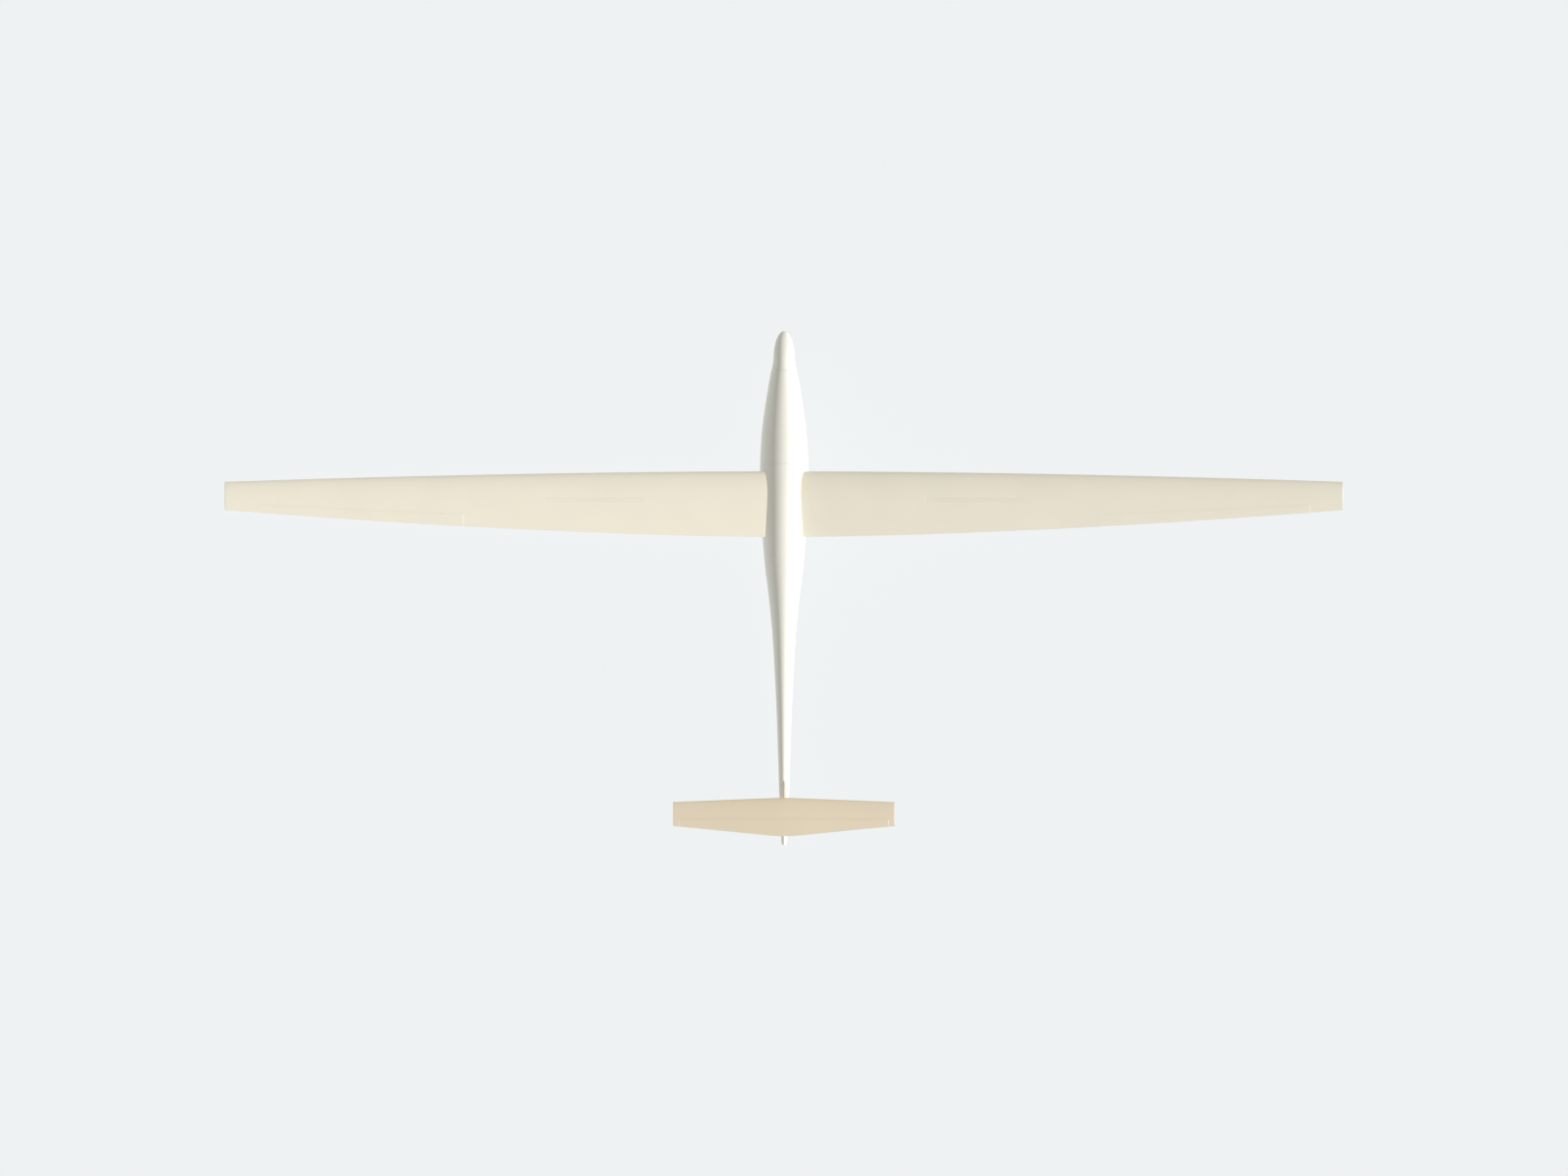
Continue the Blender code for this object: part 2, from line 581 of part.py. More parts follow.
class ControlSurface:
    """A flap on a hinge line: its own section with a round nose, and the cove cut in front of it.

    The surface's sections are worked out at each span position from the wing that it belongs to.
    """

    def __init__(self, name, wing, spans, hinge_start, hinge_end, cut_low=None, cut_high=None):
        self.name = name
        self.wing = wing
        self.spans = spans
        self.low, self.high = spans[0], spans[-1]
        self.hinge_start = hinge_start
        self.hinge_end = hinge_end
        self.cut_low = self.low - ROOM if cut_low is None else cut_low
        self.cut_high = self.high + ROOM if cut_high is None else cut_high

    def hinge_share(self, x):
        """Chord share of the hinge line at span x: the line is straight between its two ends."""
        blend = (x - self.low) / (self.high - self.low)
        station = self.hinge_start + (self.hinge_end - self.hinge_start) * blend
        lead, chord = self.wing.chord(x)
        return (station - lead) / chord

    def nose(self, x):
        """Chord share of the hinge, height of the hinge and radius of the nose, in chords."""
        share = self.hinge_share(x)
        height = camber_line(share, self.wing.camber)
        return share, float(height), float(half_thickness(share, self.wing.thickness(x)))

    def surface_ring(self, x):
        """Section of the moving surface: the wing's skin behind the hinge and a half round ahead of it."""
        share, height, radius = self.nose(x)
        aft = share + (1 - share) * np.linspace(1, 0, 6)[:-1]
        half = half_thickness(aft, self.wing.thickness(x))
        line = camber_line(aft, self.wing.camber)
        turn = np.linspace(math.pi / 2, 1.5 * math.pi, 9)
        front = np.column_stack([share + radius * np.cos(turn), height + radius * np.sin(turn)])
        top = np.column_stack([aft, line + half])
        bottom = np.column_stack([aft, line - half])[::-1]
        outline = np.vstack([top, front, bottom])
        return self.wing.place(x, outline[:, 0], outline[:, 1])

    def cove_ring(self, x):
        """Section of what is cut from the fixed piece: all behind the hinge, and a half round with room."""
        share, height, radius = self.nose(x)
        chord = self.wing.chord(x)[1]
        radius = radius + ROOM / chord
        far = 1 + COVE_AFT / chord
        reach = radius + COVE_REACH / chord
        turn = np.linspace(math.pi / 2, 1.5 * math.pi, 9)
        front = np.column_stack([share + radius * np.cos(turn), height + radius * np.sin(turn)])
        start = [(far, height + reach), (share, height + reach)]
        end = [(share, height - reach), (far, height - reach)]
        outline = np.vstack([start, front, end])
        return self.wing.place(x, outline[:, 0], outline[:, 1])

    def hinge_point(self, x):
        """Point of the hinge line at span x."""
        share, height, _ = self.nose(x)
        return Vector(self.wing.place(x, np.array([share]), np.array([height]))[0])

    def nose_radius(self, x):
        """Radius of the surface's round nose at span x."""
        return self.nose(x)[2] * self.wing.chord(x)[1]

    def build(self, fixed, finish, hinge_spans):
        """Makes the moving surface, cuts its cove in the fixed piece and joins the two by lugs and pins."""
        inner = [x for x in self.spans if self.low < x < self.high]
        surface = loft(self.name, [self.surface_ring(x) for x in self.spans], finish)
        cove = [self.cove_ring(x) for x in (self.cut_low, *inner, self.cut_high)]
        combine(fixed, "DIFFERENCE", loft(self.name + "_cove", cove))
        start, end = self.hinge_point(self.low), self.hinge_point(self.high)
        along = (end - start).normalized()
        for number, x in enumerate(hinge_spans, 1):
            self.add_hinge(f"{self.name}_hinge_{number}", fixed, surface, x, start, along)
        helper = pivot(self.name + "_axis", start, along)
        hang(helper, surface)
        return surface

    def add_hinge(self, name, fixed, surface, x, start, along):
        """Lug with a hole on the fixed side, slot and pin on the moving side."""
        radius = self.nose_radius(x)
        guess = self.hinge_point(x)
        centre = start + along * (guess - start).dot(along)
        forward = Vector(self.wing.place(x, np.array([0.0]), np.array([0.0]))[0]) - centre
        place = frame_along(centre, along, forward)
        reach = radius + ROOM + LUG_ROOT
        outline = arc(LUG_RADIUS, 90, 270, 9) + [(reach, -LUG_RADIUS), (reach, LUG_RADIUS)]
        hole = arc(PIN_RADIUS + SEAT, 0, 330, 12)
        combine(fixed, "UNION", plate(name + "_lug", [outline, hole], LUG_THICKNESS, place))
        slot = rod(name + "_slot", radius + LUG_SLOT_SIDE, LUG_THICKNESS + 2 * LUG_SLOT_SIDE, place, sides=24)
        combine(surface, "DIFFERENCE", slot)
        pin = rod(name + "_pin", PIN_RADIUS, LUG_THICKNESS + 2 * PIN_OVERHANG, place, sides=12)
        combine(surface, "UNION", pin)


def build_hull():
    """Nose cone, cockpit tub, centre section, tail boom and the canopy hood."""
    noses = [NOSE_LENGTH * (1 - math.cos(t)) for t in np.linspace(0.05, math.pi / 2, 10)]
    loft("nose_cone", [hull_ring(s) for s in noses + [NOSE_JOINT - SEAT]], "gelcoat")

    shell = [hull_ring(s) for s in SHELL_STATIONS]
    tub = loft("cockpit_tub", shell, "gelcoat")
    hood = loft("canopy_hood", shell, "gelcoat")
    inside = (CAVITY_FRONT, *SHELL_STATIONS[2:-1], TUB_REAR + 0.05)
    cavity = loft("cockpit_cavity", [hull_ring(s, -HULL_WALL) for s in inside])
    combine(tub, "DIFFERENCE", cavity, canopy_block("canopy_opening", 0.0, SILL_HEIGHT))
    combine(hood, "INTERSECT", canopy_block("canopy_outline", CANOPY_SEAM, SILL_HEIGHT + SEAT))
    combine(hood, "DIFFERENCE", cavity)

    centre = loft("centre_fuselage", [hull_ring(s) for s in CENTRE_STATIONS], "gelcoat")
    boom = loft("tail_boom", [hull_ring(s) for s in BOOM_STATIONS], "gelcoat")
    return hood, centre, boom


def hull_guide(name, stations, shift=0.0):
    """Hull skin grown by the seat gap, to trim what lies on it. Its facets match those of the hull piece.

    A small sideways shift keeps its ridge off an edge that lies in the centre plane.
    """
    return loft(name, [hull_ring(s, SEAT) + (shift, 0, 0) for s in stations])


def canopy_block(name, inset, low):
    """Block above the sill whose side view has round lower corners and leaning ends."""
    front, rear = CANOPY_FRONT + inset, CANOPY_REAR - inset
    corner = CANOPY_CORNER - inset
    outline = [(front + CANOPY_LEAN, CANOPY_TOP)]
    outline += arc(corner, 180, 270, 5, (front + corner, low + corner))
    outline += arc(corner, 270, 360, 5, (rear - corner, low + corner))
    outline += [(rear - CANOPY_LEAN, CANOPY_TOP)]
    return plate(name, [outline], 1.0, frame_along((0, 0, 0), (-1, 0, 0), (0, -1, 0)))


def interior_guide():
    """The cockpit's free space, a seat gap inside its walls."""
    stations = (CAVITY_FRONT + SEAT, *SHELL_STATIONS[2:-1], TUB_REAR - SEAT)
    return loft("interior_guide", [hull_ring(s, -HULL_WALL - SEAT) for s in stations])


def build_canopy_hinges(hood):
    """Two strap hinges on the right sill: a bracket with the pin on the tub, a lug on the hood."""
    sides = [hull_half_width_at(s, SILL_HEIGHT) + CANOPY_PIN_PROUD for s in CANOPY_HINGE_STATIONS]
    points = [Vector((x, -s, SILL_HEIGHT)) for x, s in zip(sides, CANOPY_HINGE_STATIONS)]
    along = (points[0] - points[1]).normalized()
    skin = hull_guide("hinge_skin_guide", SHELL_STATIONS)
    lugs = []
    for end, point in zip(("front", "rear"), points):
        place = frame_along(point, along, (0, 0, 1))
        bracket = box(f"canopy_bracket_{end}", BRACKET_LOW, BRACKET_HIGH, "alloy", place)
        for number, shift in enumerate((-BARREL_SHIFT, BARREL_SHIFT), 1):
            spot = place @ Matrix.Translation((0, 0, shift))
            combine(bracket, "UNION", box(f"bracket_{end}_arm_{number}", ARM_LOW, ARM_HIGH, None, spot))
            barrel = rod(f"bracket_{end}_barrel_{number}", BARREL_RADIUS, BARREL_LENGTH, spot, sides=12)
            combine(bracket, "UNION", barrel)
        pin = rod(f"bracket_{end}_pin", CANOPY_PIN_RADIUS, CANOPY_PIN_LENGTH, place, sides=12)
        combine(bracket, "UNION", pin)
        combine(bracket, "DIFFERENCE", skin)
        lug = box(f"canopy_lug_{end}", LUG_LOW, LUG_HIGH, "alloy", place)
        combine(lug, "UNION", rod(f"lug_{end}_barrel", BARREL_RADIUS, LUG_BARREL_LENGTH, place, sides=12))
        bore = rod(f"lug_{end}_bore", CANOPY_PIN_RADIUS + SEAT, 2 * LUG_BARREL_LENGTH, place, sides=12)
        combine(lug, "DIFFERENCE", skin, bore)
        lugs.append(lug)
    hang(pivot("canopy_axis", points[1], along), hood, *lugs)


def build_cockpit():
    """Seat, headrest, instrument panel, stick and pedals, each trimmed to the cockpit's walls."""
    guide = interior_guide()
    across = frame_along((0, 0, 0), (1, 0, 0), (0, 0, 1))
    for name, line in (("seat_pan", SEAT_PAN), ("seat_back", SEAT_BACK)):
        seat = plate(name, [ribbon(line, SEAT_SHELL)], SEAT_WIDTH, across, "upholstery")
        combine(seat, "INTERSECT", guide)
    head = box("headrest", *HEADREST, "upholstery")
    soften(head, HEADREST_ROUND)
    combine(head, "UNION", box("headrest_post", *HEADREST_POST))
    panel = box("instrument_panel", *PANEL, "panel")
    soften(panel, PANEL_ROUND)
    combine(panel, "UNION", box("panel_pedestal", *PANEL_PEDESTAL))
    combine(panel, "INTERSECT", guide)
    middle = Matrix.Translation((0, -STICK_STATION, STICK_BOOT_TOP - STICK_BOOT_LENGTH / 2))
    stick = rod("control_stick", STICK_BOOT_RADIUS, STICK_BOOT_LENGTH, middle, "panel", sides=20)
    combine(stick, "UNION", tube("stick_shaft", STICK_SHAFT, STICK_SHAFT_RADIUS))
    grip = rod("stick_grip", STICK_GRIP_RADIUS, STICK_GRIP_LENGTH, Matrix.Translation(STICK_GRIP_CENTRE))
    combine(stick, "UNION", grip)
    combine(stick, "INTERSECT", guide)
    bar = box("rudder_pedals", *PEDAL_BAR, "alloy")
    for word, side in (("left", -1), ("right", 1)):
        place = Matrix.Translation((side * PEDAL_OFFSET, 0, 0))
        combine(bar, "UNION", box(f"pedal_{word}", *PEDAL, None, place))
    combine(bar, "INTERSECT", guide)


def ribbon(line, thickness):
    """Outline of a strip of even thickness along a line of (station, height) points, as (height, station)."""
    path = np.array(line)
    heading = np.gradient(path, axis=0)
    heading /= np.linalg.norm(heading, axis=1)[:, None]
    normal = np.column_stack([-heading[:, 1], heading[:, 0]])
    upper = path + normal * thickness / 2
    lower = path - normal * thickness / 2
    both = np.vstack([upper, lower[::-1]])
    return [(z, s) for s, z in both]


def soften(item, width):
    """Rounds a block's edges."""
    change = item.modifiers.new("round_edges", "BEVEL")
    change.width = width
    change.segments = 3
    change.limit_method = "ANGLE"


def build_wings():
    """Wings with tips, skids, ailerons and airbrakes."""
    skin = hull_guide("wing_root_guide", CENTRE_STATIONS)
    for word, side in (("left", -1), ("right", 1)):
        wing = Wing(side)
        raw = [wing.ring(x) for x in WING_SPANS]
        panel = loft(f"wing_{word}", raw, "wing_paint")
        combine(panel, "DIFFERENCE", skin)
        loft(f"wing_tip_{word}", [wing.ring(x, f) for x, f in zip(TIP_SPANS, TIP_FULLNESS)], "wing_paint")
        build_tip_skid(word, wing)
        ends = []
        for x in (AILERON_START, AILERON_END):
            lead, chord = wing.chord(x)
            ends.append(lead + AILERON_CHORD_SHARE * chord)
        aileron = ControlSurface(f"aileron_{word}", wing, AILERON_SPANS, *ends)
        aileron.build(panel, "wing_paint", AILERON_HINGES)
        build_airbrake(word, side, panel, raw)


def build_tip_skid(word, wing):
    """Curved runner under the tip, trimmed to the tip's lower skin."""
    foot = wing.place(SKID_SPAN, np.array([SKID_CHORD_SHARE]), np.array([0.0]))[0]
    outline = [(-SKID_HALF_LENGTH, 0.0)]
    outline += arc(SKID_CURVE, 225, 315, 9, (0, SKID_CURVE_RISE))
    outline += [(SKID_HALF_LENGTH, 0.0)]
    place = frame_along(foot, (1, 0, 0), (0, 1, 0))
    skid = plate(f"tip_skid_{word}", [outline], SKID_THICKNESS, place, "rubber")
    above = [wing.ring(x) for x in SKID_GUIDE_SPANS]
    for ring in above:
        ring[: len(ring) // 2, 2] += SKID_GUIDE_RISE
        ring[:, 2] -= SEAT
    combine(skid, "DIFFERENCE", loft(f"skid_{word}_guide", above))


def build_airbrake(word, side, panel, raw):
    """Slot in the wing, guide rods on its floor, and a blade whose cap is flush with the skin."""
    level = WING_HEIGHT + BRAKE_MIDDLE * math.tan(DIHEDRAL) + BRAKE_LIFT
    middle = Vector((side * BRAKE_MIDDLE, -BRAKE_STATION, level))
    up = Vector((-side * math.sin(DIHEDRAL), 0, math.cos(DIHEDRAL)))
    place = frame_along(middle, up, (1, 0, 0))
    half, deep, thin, broad = BRAKE_LENGTH / 2, BRAKE_SLOT / 2, BLADE_THICKNESS / 2, CAP_WIDTH / 2
    slot_low = (-half - ROOM, -deep, BRAKE_FLOOR)
    slot = box(f"airbrake_{word}_slot", slot_low, (half + ROOM, deep, ABOVE_SKIN), None, place)
    combine(panel, "DIFFERENCE", slot)
    rail_low = (-half, SEAT - deep, BRAKE_FLOOR + SEAT)
    guides = box(f"airbrake_guides_{word}", rail_low, (half, deep - SEAT, BRAKE_RAIL_TOP), "alloy", place)
    blade_high = (half, thin, ABOVE_SKIN - ROOM)
    blade = box(f"airbrake_{word}", (-half, -thin, BLADE_BOTTOM), blade_high, "wing_paint", place)
    reach = half + CAP_OVERLAP
    cap = box(f"airbrake_{word}_cap", (-reach, -broad, CAP_BOTTOM), (reach, broad, ABOVE_SKIN), None, place)
    combine(blade, "UNION", cap)
    combine(blade, "INTERSECT", loft(f"airbrake_{word}_skin", raw))
    for number, shift in enumerate(BRAKE_ROD_SHIFTS, 1):
        foot = place @ Matrix.Translation((shift, 0, 0))
        guide = rod(f"guide_{word}_{number}", BRAKE_ROD_RADIUS, BRAKE_ROD_LENGTH, foot, sides=12)
        combine(guides, "UNION", guide)
        foot = place @ Matrix.Translation((shift, 0, -BRAKE_BORE_DROP))
        bore = rod(f"guide_{word}_{number}_bore", BRAKE_ROD_RADIUS + SEAT, BRAKE_BORE_LENGTH, foot, sides=12)
        combine(blade, "DIFFERENCE", bore)
    hang(pivot(f"airbrake_{word}_axis", middle, up), blade)


def build_tail():
    """Fin, rudder, tailplane and elevator."""
    tail = Tailplane()
    spans = [-x for x in reversed(TAIL_SPANS)] + list(TAIL_SPANS)
    fullness = TAIL_FULLNESS[::-1] + TAIL_FULLNESS
    tailplane = loft("tailplane", [tail.ring(x, f) for x, f in zip(spans, fullness)], "tail_paint")
    inner = [x for x in spans if abs(x) < ELEVATOR_END]
    surface_spans = [-ELEVATOR_END] + inner + [ELEVATOR_END]
    elevator = ControlSurface("elevator", tail, surface_spans, ELEVATOR_HINGE, ELEVATOR_HINGE)
    elevator.build(tailplane, "tail_paint", ELEVATOR_HINGES)

    fin_wing = Fin()
    fin = loft("fin", [fin_wing.ring(z) for z in FIN_HEIGHTS], "tail_paint")
    combine(fin, "DIFFERENCE", hull_guide("fin_root_guide", BOOM_STATIONS, RIDGE_SHIFT))
    grown = Tailplane(SEAT)
    combine(fin, "DIFFERENCE", loft("fin_top_guide", [grown.ring(x) for x in FIN_TOP_SPANS]))
    rudder = ControlSurface("rudder", fin_wing, RUDDER_HEIGHTS, RUDDER_HINGE, RUDDER_HINGE, *RUDDER_CUT)
    rudder.build(fin, "tail_paint", RUDDER_HINGES)


def build_wheel(word, sizes, hull):
    """Tyre, hub, axle and a forked frame in a well cut into the hull."""
    centre = Vector((0, -sizes["station"], sizes["height"]))
    place = frame_along(centre, (1, 0, 0), (0, 0, 1))
    radius, half, rim, axle = sizes["radius"], sizes["half_width"], sizes["rim"], sizes["axle"]
    profile = [(rim + share * (radius - rim), -width * half) for share, width in TYRE_PROFILE] + [(radius, 0)]
    profile += [(r, -x) for r, x in reversed(profile[:-1])]
    tyre = turned(f"{word}_tyre", profile, place, "rubber")
    profile = [(axle + AXLE_ROOM, -HUB_BORE_WIDTH * half)]
    profile += [(share * rim, -width * half) for share, width in HUB_PROFILE]
    profile += [(rim - SEAT, -HUB_EDGE_WIDTH * half)]
    profile += [(r, -x) for r, x in reversed(profile)]
    hub = turned(f"{word}_hub", profile, place, "alloy")
    low, high = (Vector(corner) for corner in sizes["well"])
    combine(hull, "DIFFERENCE", box(f"{word}_well", low, high))
    wide = high.x - SEAT
    reach = FRAME_REACH * radius
    frame_low = (-wide, centre.y - reach, centre.z - FRAME_DROP * radius)
    frame = box(f"{word}_frame", frame_low, (wide, centre.y + reach, high.z - SEAT), "steel")
    inner = wide - sizes["leg"]
    gap_low = (-inner, centre.y - radius, centre.z - radius)
    gap = box(f"{word}_frame_gap", gap_low, (inner, centre.y + radius, high.z - sizes["leg"]))
    holes = rod(f"{word}_frame_holes", axle + SEAT, 1.0, place)
    combine(frame, "DIFFERENCE", gap, holes)
    rod(f"{word}_axle", axle, 2 * (high.x - 2 * SEAT), place, "steel")
    hang(pivot(f"{word}_wheel_axis", centre, (1, 0, 0)), tyre, hub)


def build_tow_hook():
    """Tow hook block under the tub, with an eye for the cable's ring and a flat lower face."""
    hook = box("tow_hook", *HOOK, "steel")
    combine(hook, "DIFFERENCE", hull_guide("tow_hook_guide", SHELL_STATIONS))
    eye = rod("tow_hook_eye", HOOK_EYE_RADIUS, 0.1, frame_along(HOOK_EYE, (1, 0, 0), (0, 0, 1)))
    combine(hook, "DIFFERENCE", eye)


def evaluated_points(items):
    """Points of each object's evaluated mesh, one array for each object."""
    graph = bpy.context.evaluated_depsgraph_get()
    clouds = []
    for item in items:
        mesh = item.evaluated_get(graph).to_mesh()
        points = np.empty(len(mesh.vertices) * 3)
        mesh.vertices.foreach_get("co", points)
        clouds.append(points.reshape(-1, 3))
    return clouds


def park():
    """Turns the aircraft so that both tyres and the left tip skid stand on the ground, and centres it."""
    feet = evaluated_points(bpy.data.objects[name] for name in ("main_tyre", "tail_tyre", "tip_skid_left"))

    def attitude(pitch, roll):
        """Turn about X by the pitch and about Y by the roll."""
        return (Matrix.Rotation(pitch, 3, "X") @ Matrix.Rotation(roll, 3, "Y")).to_3x3()

    def unevenness(angles):
        """Heights of the tail tyre and the skid above the main tyre."""
        turn = np.array(attitude(*angles))
        levels = [(points @ turn[2]).min() for points in feet]
        return np.array([levels[1] - levels[0], levels[2] - levels[0]])

    angles, step = np.array(FIRST_ATTITUDE), ATTITUDE_STEP
    for _ in range(12):
        error = unevenness(angles)
        slopes = np.column_stack([(unevenness(angles + move) - error) / step for move in np.eye(2) * step])
        angles = angles - np.linalg.solve(slopes, error)
    turn = attitude(*angles)
    world = np.vstack(evaluated_points(PARTS.objects)) @ np.array(turn).T
    low, high = world.min(axis=0), world.max(axis=0)
    ground = bpy.data.objects.new("parked_attitude", None)
    CUTTERS.objects.link(ground)
    shift = Vector((-(low[0] + high[0]) / 2, -(low[1] + high[1]) / 2, -low[2]))
    ground.matrix_world = Matrix.Translation(shift) @ turn.to_4x4()
    for item in list(PARTS.objects) + list(CUTTERS.objects):
        if item.parent is None and item is not ground:
            item.parent = ground


def main():
    """Builds the aircraft level, in its own axes, and parks it."""
    for item in list(bpy.data.objects):
        bpy.data.objects.remove(item)
    bpy.context.scene.collection.children.link(PARTS)
    bpy.context.scene.collection.children.link(CUTTERS)
    hood, centre, boom = build_hull()
    build_canopy_hinges(hood)
    build_cockpit()
    build_wings()
    build_tail()
    build_wheel("main", MAIN_WHEEL, centre)
    build_wheel("tail", TAIL_WHEEL, boom)
    build_tow_hook()
    bpy.context.view_layer.update()
    park()


main()
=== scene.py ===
"""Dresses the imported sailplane: fine skins, finishes, cockpit furniture, and the studio it stands in.

Shapes are worked out in aircraft axes: X towards the right wing, Y forward, Z up, in metres. A station is a
distance aft of the nose, so station s lies at Y = -s. AircraftAxes turns them into the frame's own coordinates.
A net is an array of rows by columns by 3.
"""

from __future__ import annotations

import json
import logging
import math
from dataclasses import dataclass, field, replace
from enum import Enum
from typing import Callable, Sequence

import bmesh
import bpy
import numpy as np
from mathutils import Matrix, Vector

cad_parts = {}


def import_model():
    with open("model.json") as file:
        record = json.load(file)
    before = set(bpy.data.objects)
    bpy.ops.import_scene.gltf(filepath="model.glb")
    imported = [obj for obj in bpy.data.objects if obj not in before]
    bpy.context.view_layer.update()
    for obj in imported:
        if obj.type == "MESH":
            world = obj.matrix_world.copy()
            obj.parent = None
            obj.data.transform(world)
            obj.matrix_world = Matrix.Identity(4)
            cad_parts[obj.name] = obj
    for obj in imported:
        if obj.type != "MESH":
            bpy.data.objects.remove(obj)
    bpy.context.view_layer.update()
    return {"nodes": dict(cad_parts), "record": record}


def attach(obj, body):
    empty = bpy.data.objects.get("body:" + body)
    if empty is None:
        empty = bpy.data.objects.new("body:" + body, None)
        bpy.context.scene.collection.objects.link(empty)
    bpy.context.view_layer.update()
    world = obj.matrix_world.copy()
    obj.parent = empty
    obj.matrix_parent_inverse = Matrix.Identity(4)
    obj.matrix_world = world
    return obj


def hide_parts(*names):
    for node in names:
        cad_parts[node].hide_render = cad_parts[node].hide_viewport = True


LOG = logging.getLogger("sailplane")
ROOT = "airframe"
# Metres between pieces that touch, and between a moving piece and a fixed one.
SEAT = 0.0003
ROOM = 0.005
TURN = 2 * math.pi
# Directions that no bar or path runs along: a ring's first point is taken square to one of them.
ROD_ASIDE = (0.0, 0.6, 0.8)
LEVEL_ASIDE = (0.123, 0.0, 0.992)
STEEP_ASIDE = (0.992, 0.123, 0.0)
STEEP = 0.8

Array = np.ndarray
Knots = Sequence[Sequence[float]]
Triple = tuple[float, float, float]
Tree = bpy.types.NodeTree
Socket = bpy.types.NodeSocket


def eased(start: float, end: float, count: int) -> Array:
    """Values from start to end, crowded at both ends by a half cosine."""
    return start + (end - start) * 0.5 * (1 - np.cos(np.linspace(0, math.pi, count)))


def circle(count: int) -> Array:
    """Angles evenly round a full turn, without the last one."""
    return np.linspace(0, TURN, count, endpoint=False)


def unit(rows: Array) -> Array:
    """Rows divided by their own lengths."""
    return rows / np.linalg.norm(rows, axis=-1, keepdims=True)


def xyz(x: Array, y: Array, z: Array) -> Array:
    """Points from three arrays that are stretched to one shape."""
    return np.stack(np.broadcast_arrays(x, y, z), -1)


def blunt(value: Array, power: float) -> Array:
    """Signed power, which makes a superellipse of a sine and a cosine."""
    return np.sign(value) * np.abs(value) ** power


def headings(path: Array) -> Array:
    """Unit directions along a path."""
    return unit(np.gradient(path, axis=0))


def between(index: float | Array, path: Array) -> Array:
    """A path's rows at indices with fractions."""
    return np.stack([np.interp(index, np.arange(len(path)), row) for row in path.T], -1)


def oval(share: Array) -> Array:
    """Height of a round arch at a share of the way out: the root of one less the share's square."""
    return np.sqrt(np.clip(1 - share**2, 0, 1))


def quads(rows: int, count: int, wrap: bool = False, loop: bool = False) -> Array:
    """Faces of a net: quad (i, j) joins points (i, j), (i, j+1), (i+1, j+1) and (i+1, j).

    Args:
        rows: Rows of the net.
        count: Points in a row.
        wrap: Whether the last column joins the first.
        loop: Whether the last row joins the first.

    Returns:
        Four indices in a row.
    """
    i, j = np.meshgrid(np.arange(rows - (not loop)), np.arange(count - (not wrap)), indexing="ij")
    near, far = (i + 1) % rows, (j + 1) % count
    return np.stack([i * count + j, i * count + far, near * count + far, near * count + j], -1).reshape(-1, 4)


def columns(start: Array, end: Array, count: int, crowd: float = 1.0) -> Array:
    """Shares between two edges in each row: start plus the span times t to a power, for t from 0 to 1."""
    return start[:, None] + (end - start)[:, None] * np.linspace(0, 1, count)[None, :] ** crowd


def rounded(reach: Array, start: float, end: float) -> Array:
    """Fullness of a tip: 1 up to start, then the root of one less the cube of the share of the way to the end."""
    return np.sqrt(1 - np.clip((np.abs(reach) - start) / (end - start), 0, 1) ** 3)


def monotone(value: Array, knots: Knots) -> Array:
    """Monotone cubic curve through knots: each span is a Hermite cubic whose end slopes are harmonic means.

    Args:
        value: Positions at which to read the curve.
        knots: Pairs of position and height, in rising order of position.

    Returns:
        The heights at those positions.
    """
    xs, ys = np.array(knots, float).T
    steps = np.diff(xs)
    slopes = np.diff(ys) / steps
    tangents = np.zeros(len(xs))
    tangents[0], tangents[-1] = slopes[0], slopes[-1]
    same = slopes[:-1] * slopes[1:] > 0
    first = 2 * steps[1:] + steps[:-1]
    second = steps[1:] + 2 * steps[:-1]
    safe = np.where(same[:, None], np.column_stack([slopes[:-1], slopes[1:]]), 1.0)
    tangents[1:-1] = np.where(same, (first + second) / (first / safe[:, 0] + second / safe[:, 1]), 0.0)
    value = np.asarray(value, float)
    i = np.clip(np.searchsorted(xs, value) - 1, 0, len(steps) - 1)
    t = (value - xs[i]) / steps[i]
    low = (2 * t**3 - 3 * t**2 + 1) * ys[i] + (t**3 - 2 * t**2 + t) * steps[i] * tangents[i]
    return low + (3 * t**2 - 2 * t**3) * ys[i + 1] + (t**3 - t**2) * steps[i] * tangents[i + 1]


def bend(points: Knots, count: int) -> Array:
    """Smooth path through points: each coordinate is a Catmull-Rom curve, evenly spaced in its parameter.

    Args:
        points: What the path goes through.
        count: How many points it gets.

    Returns:
        The path.
    """
    knots = np.array(points, float)
    full = np.vstack([2 * knots[0] - knots[1], knots, 2 * knots[-1] - knots[-2]])
    t = np.linspace(0, len(knots) - 1 - 1e-9, count)
    i = t.astype(int)
    f = (t - i)[:, None]
    a, b, c, d = (full[i + k] for k in range(4))
    return 0.5 * (2 * b + (c - a) * f + (2 * a - 5 * b + 4 * c - d) * f**2 + (3 * b - 3 * c + d - a) * f**3)


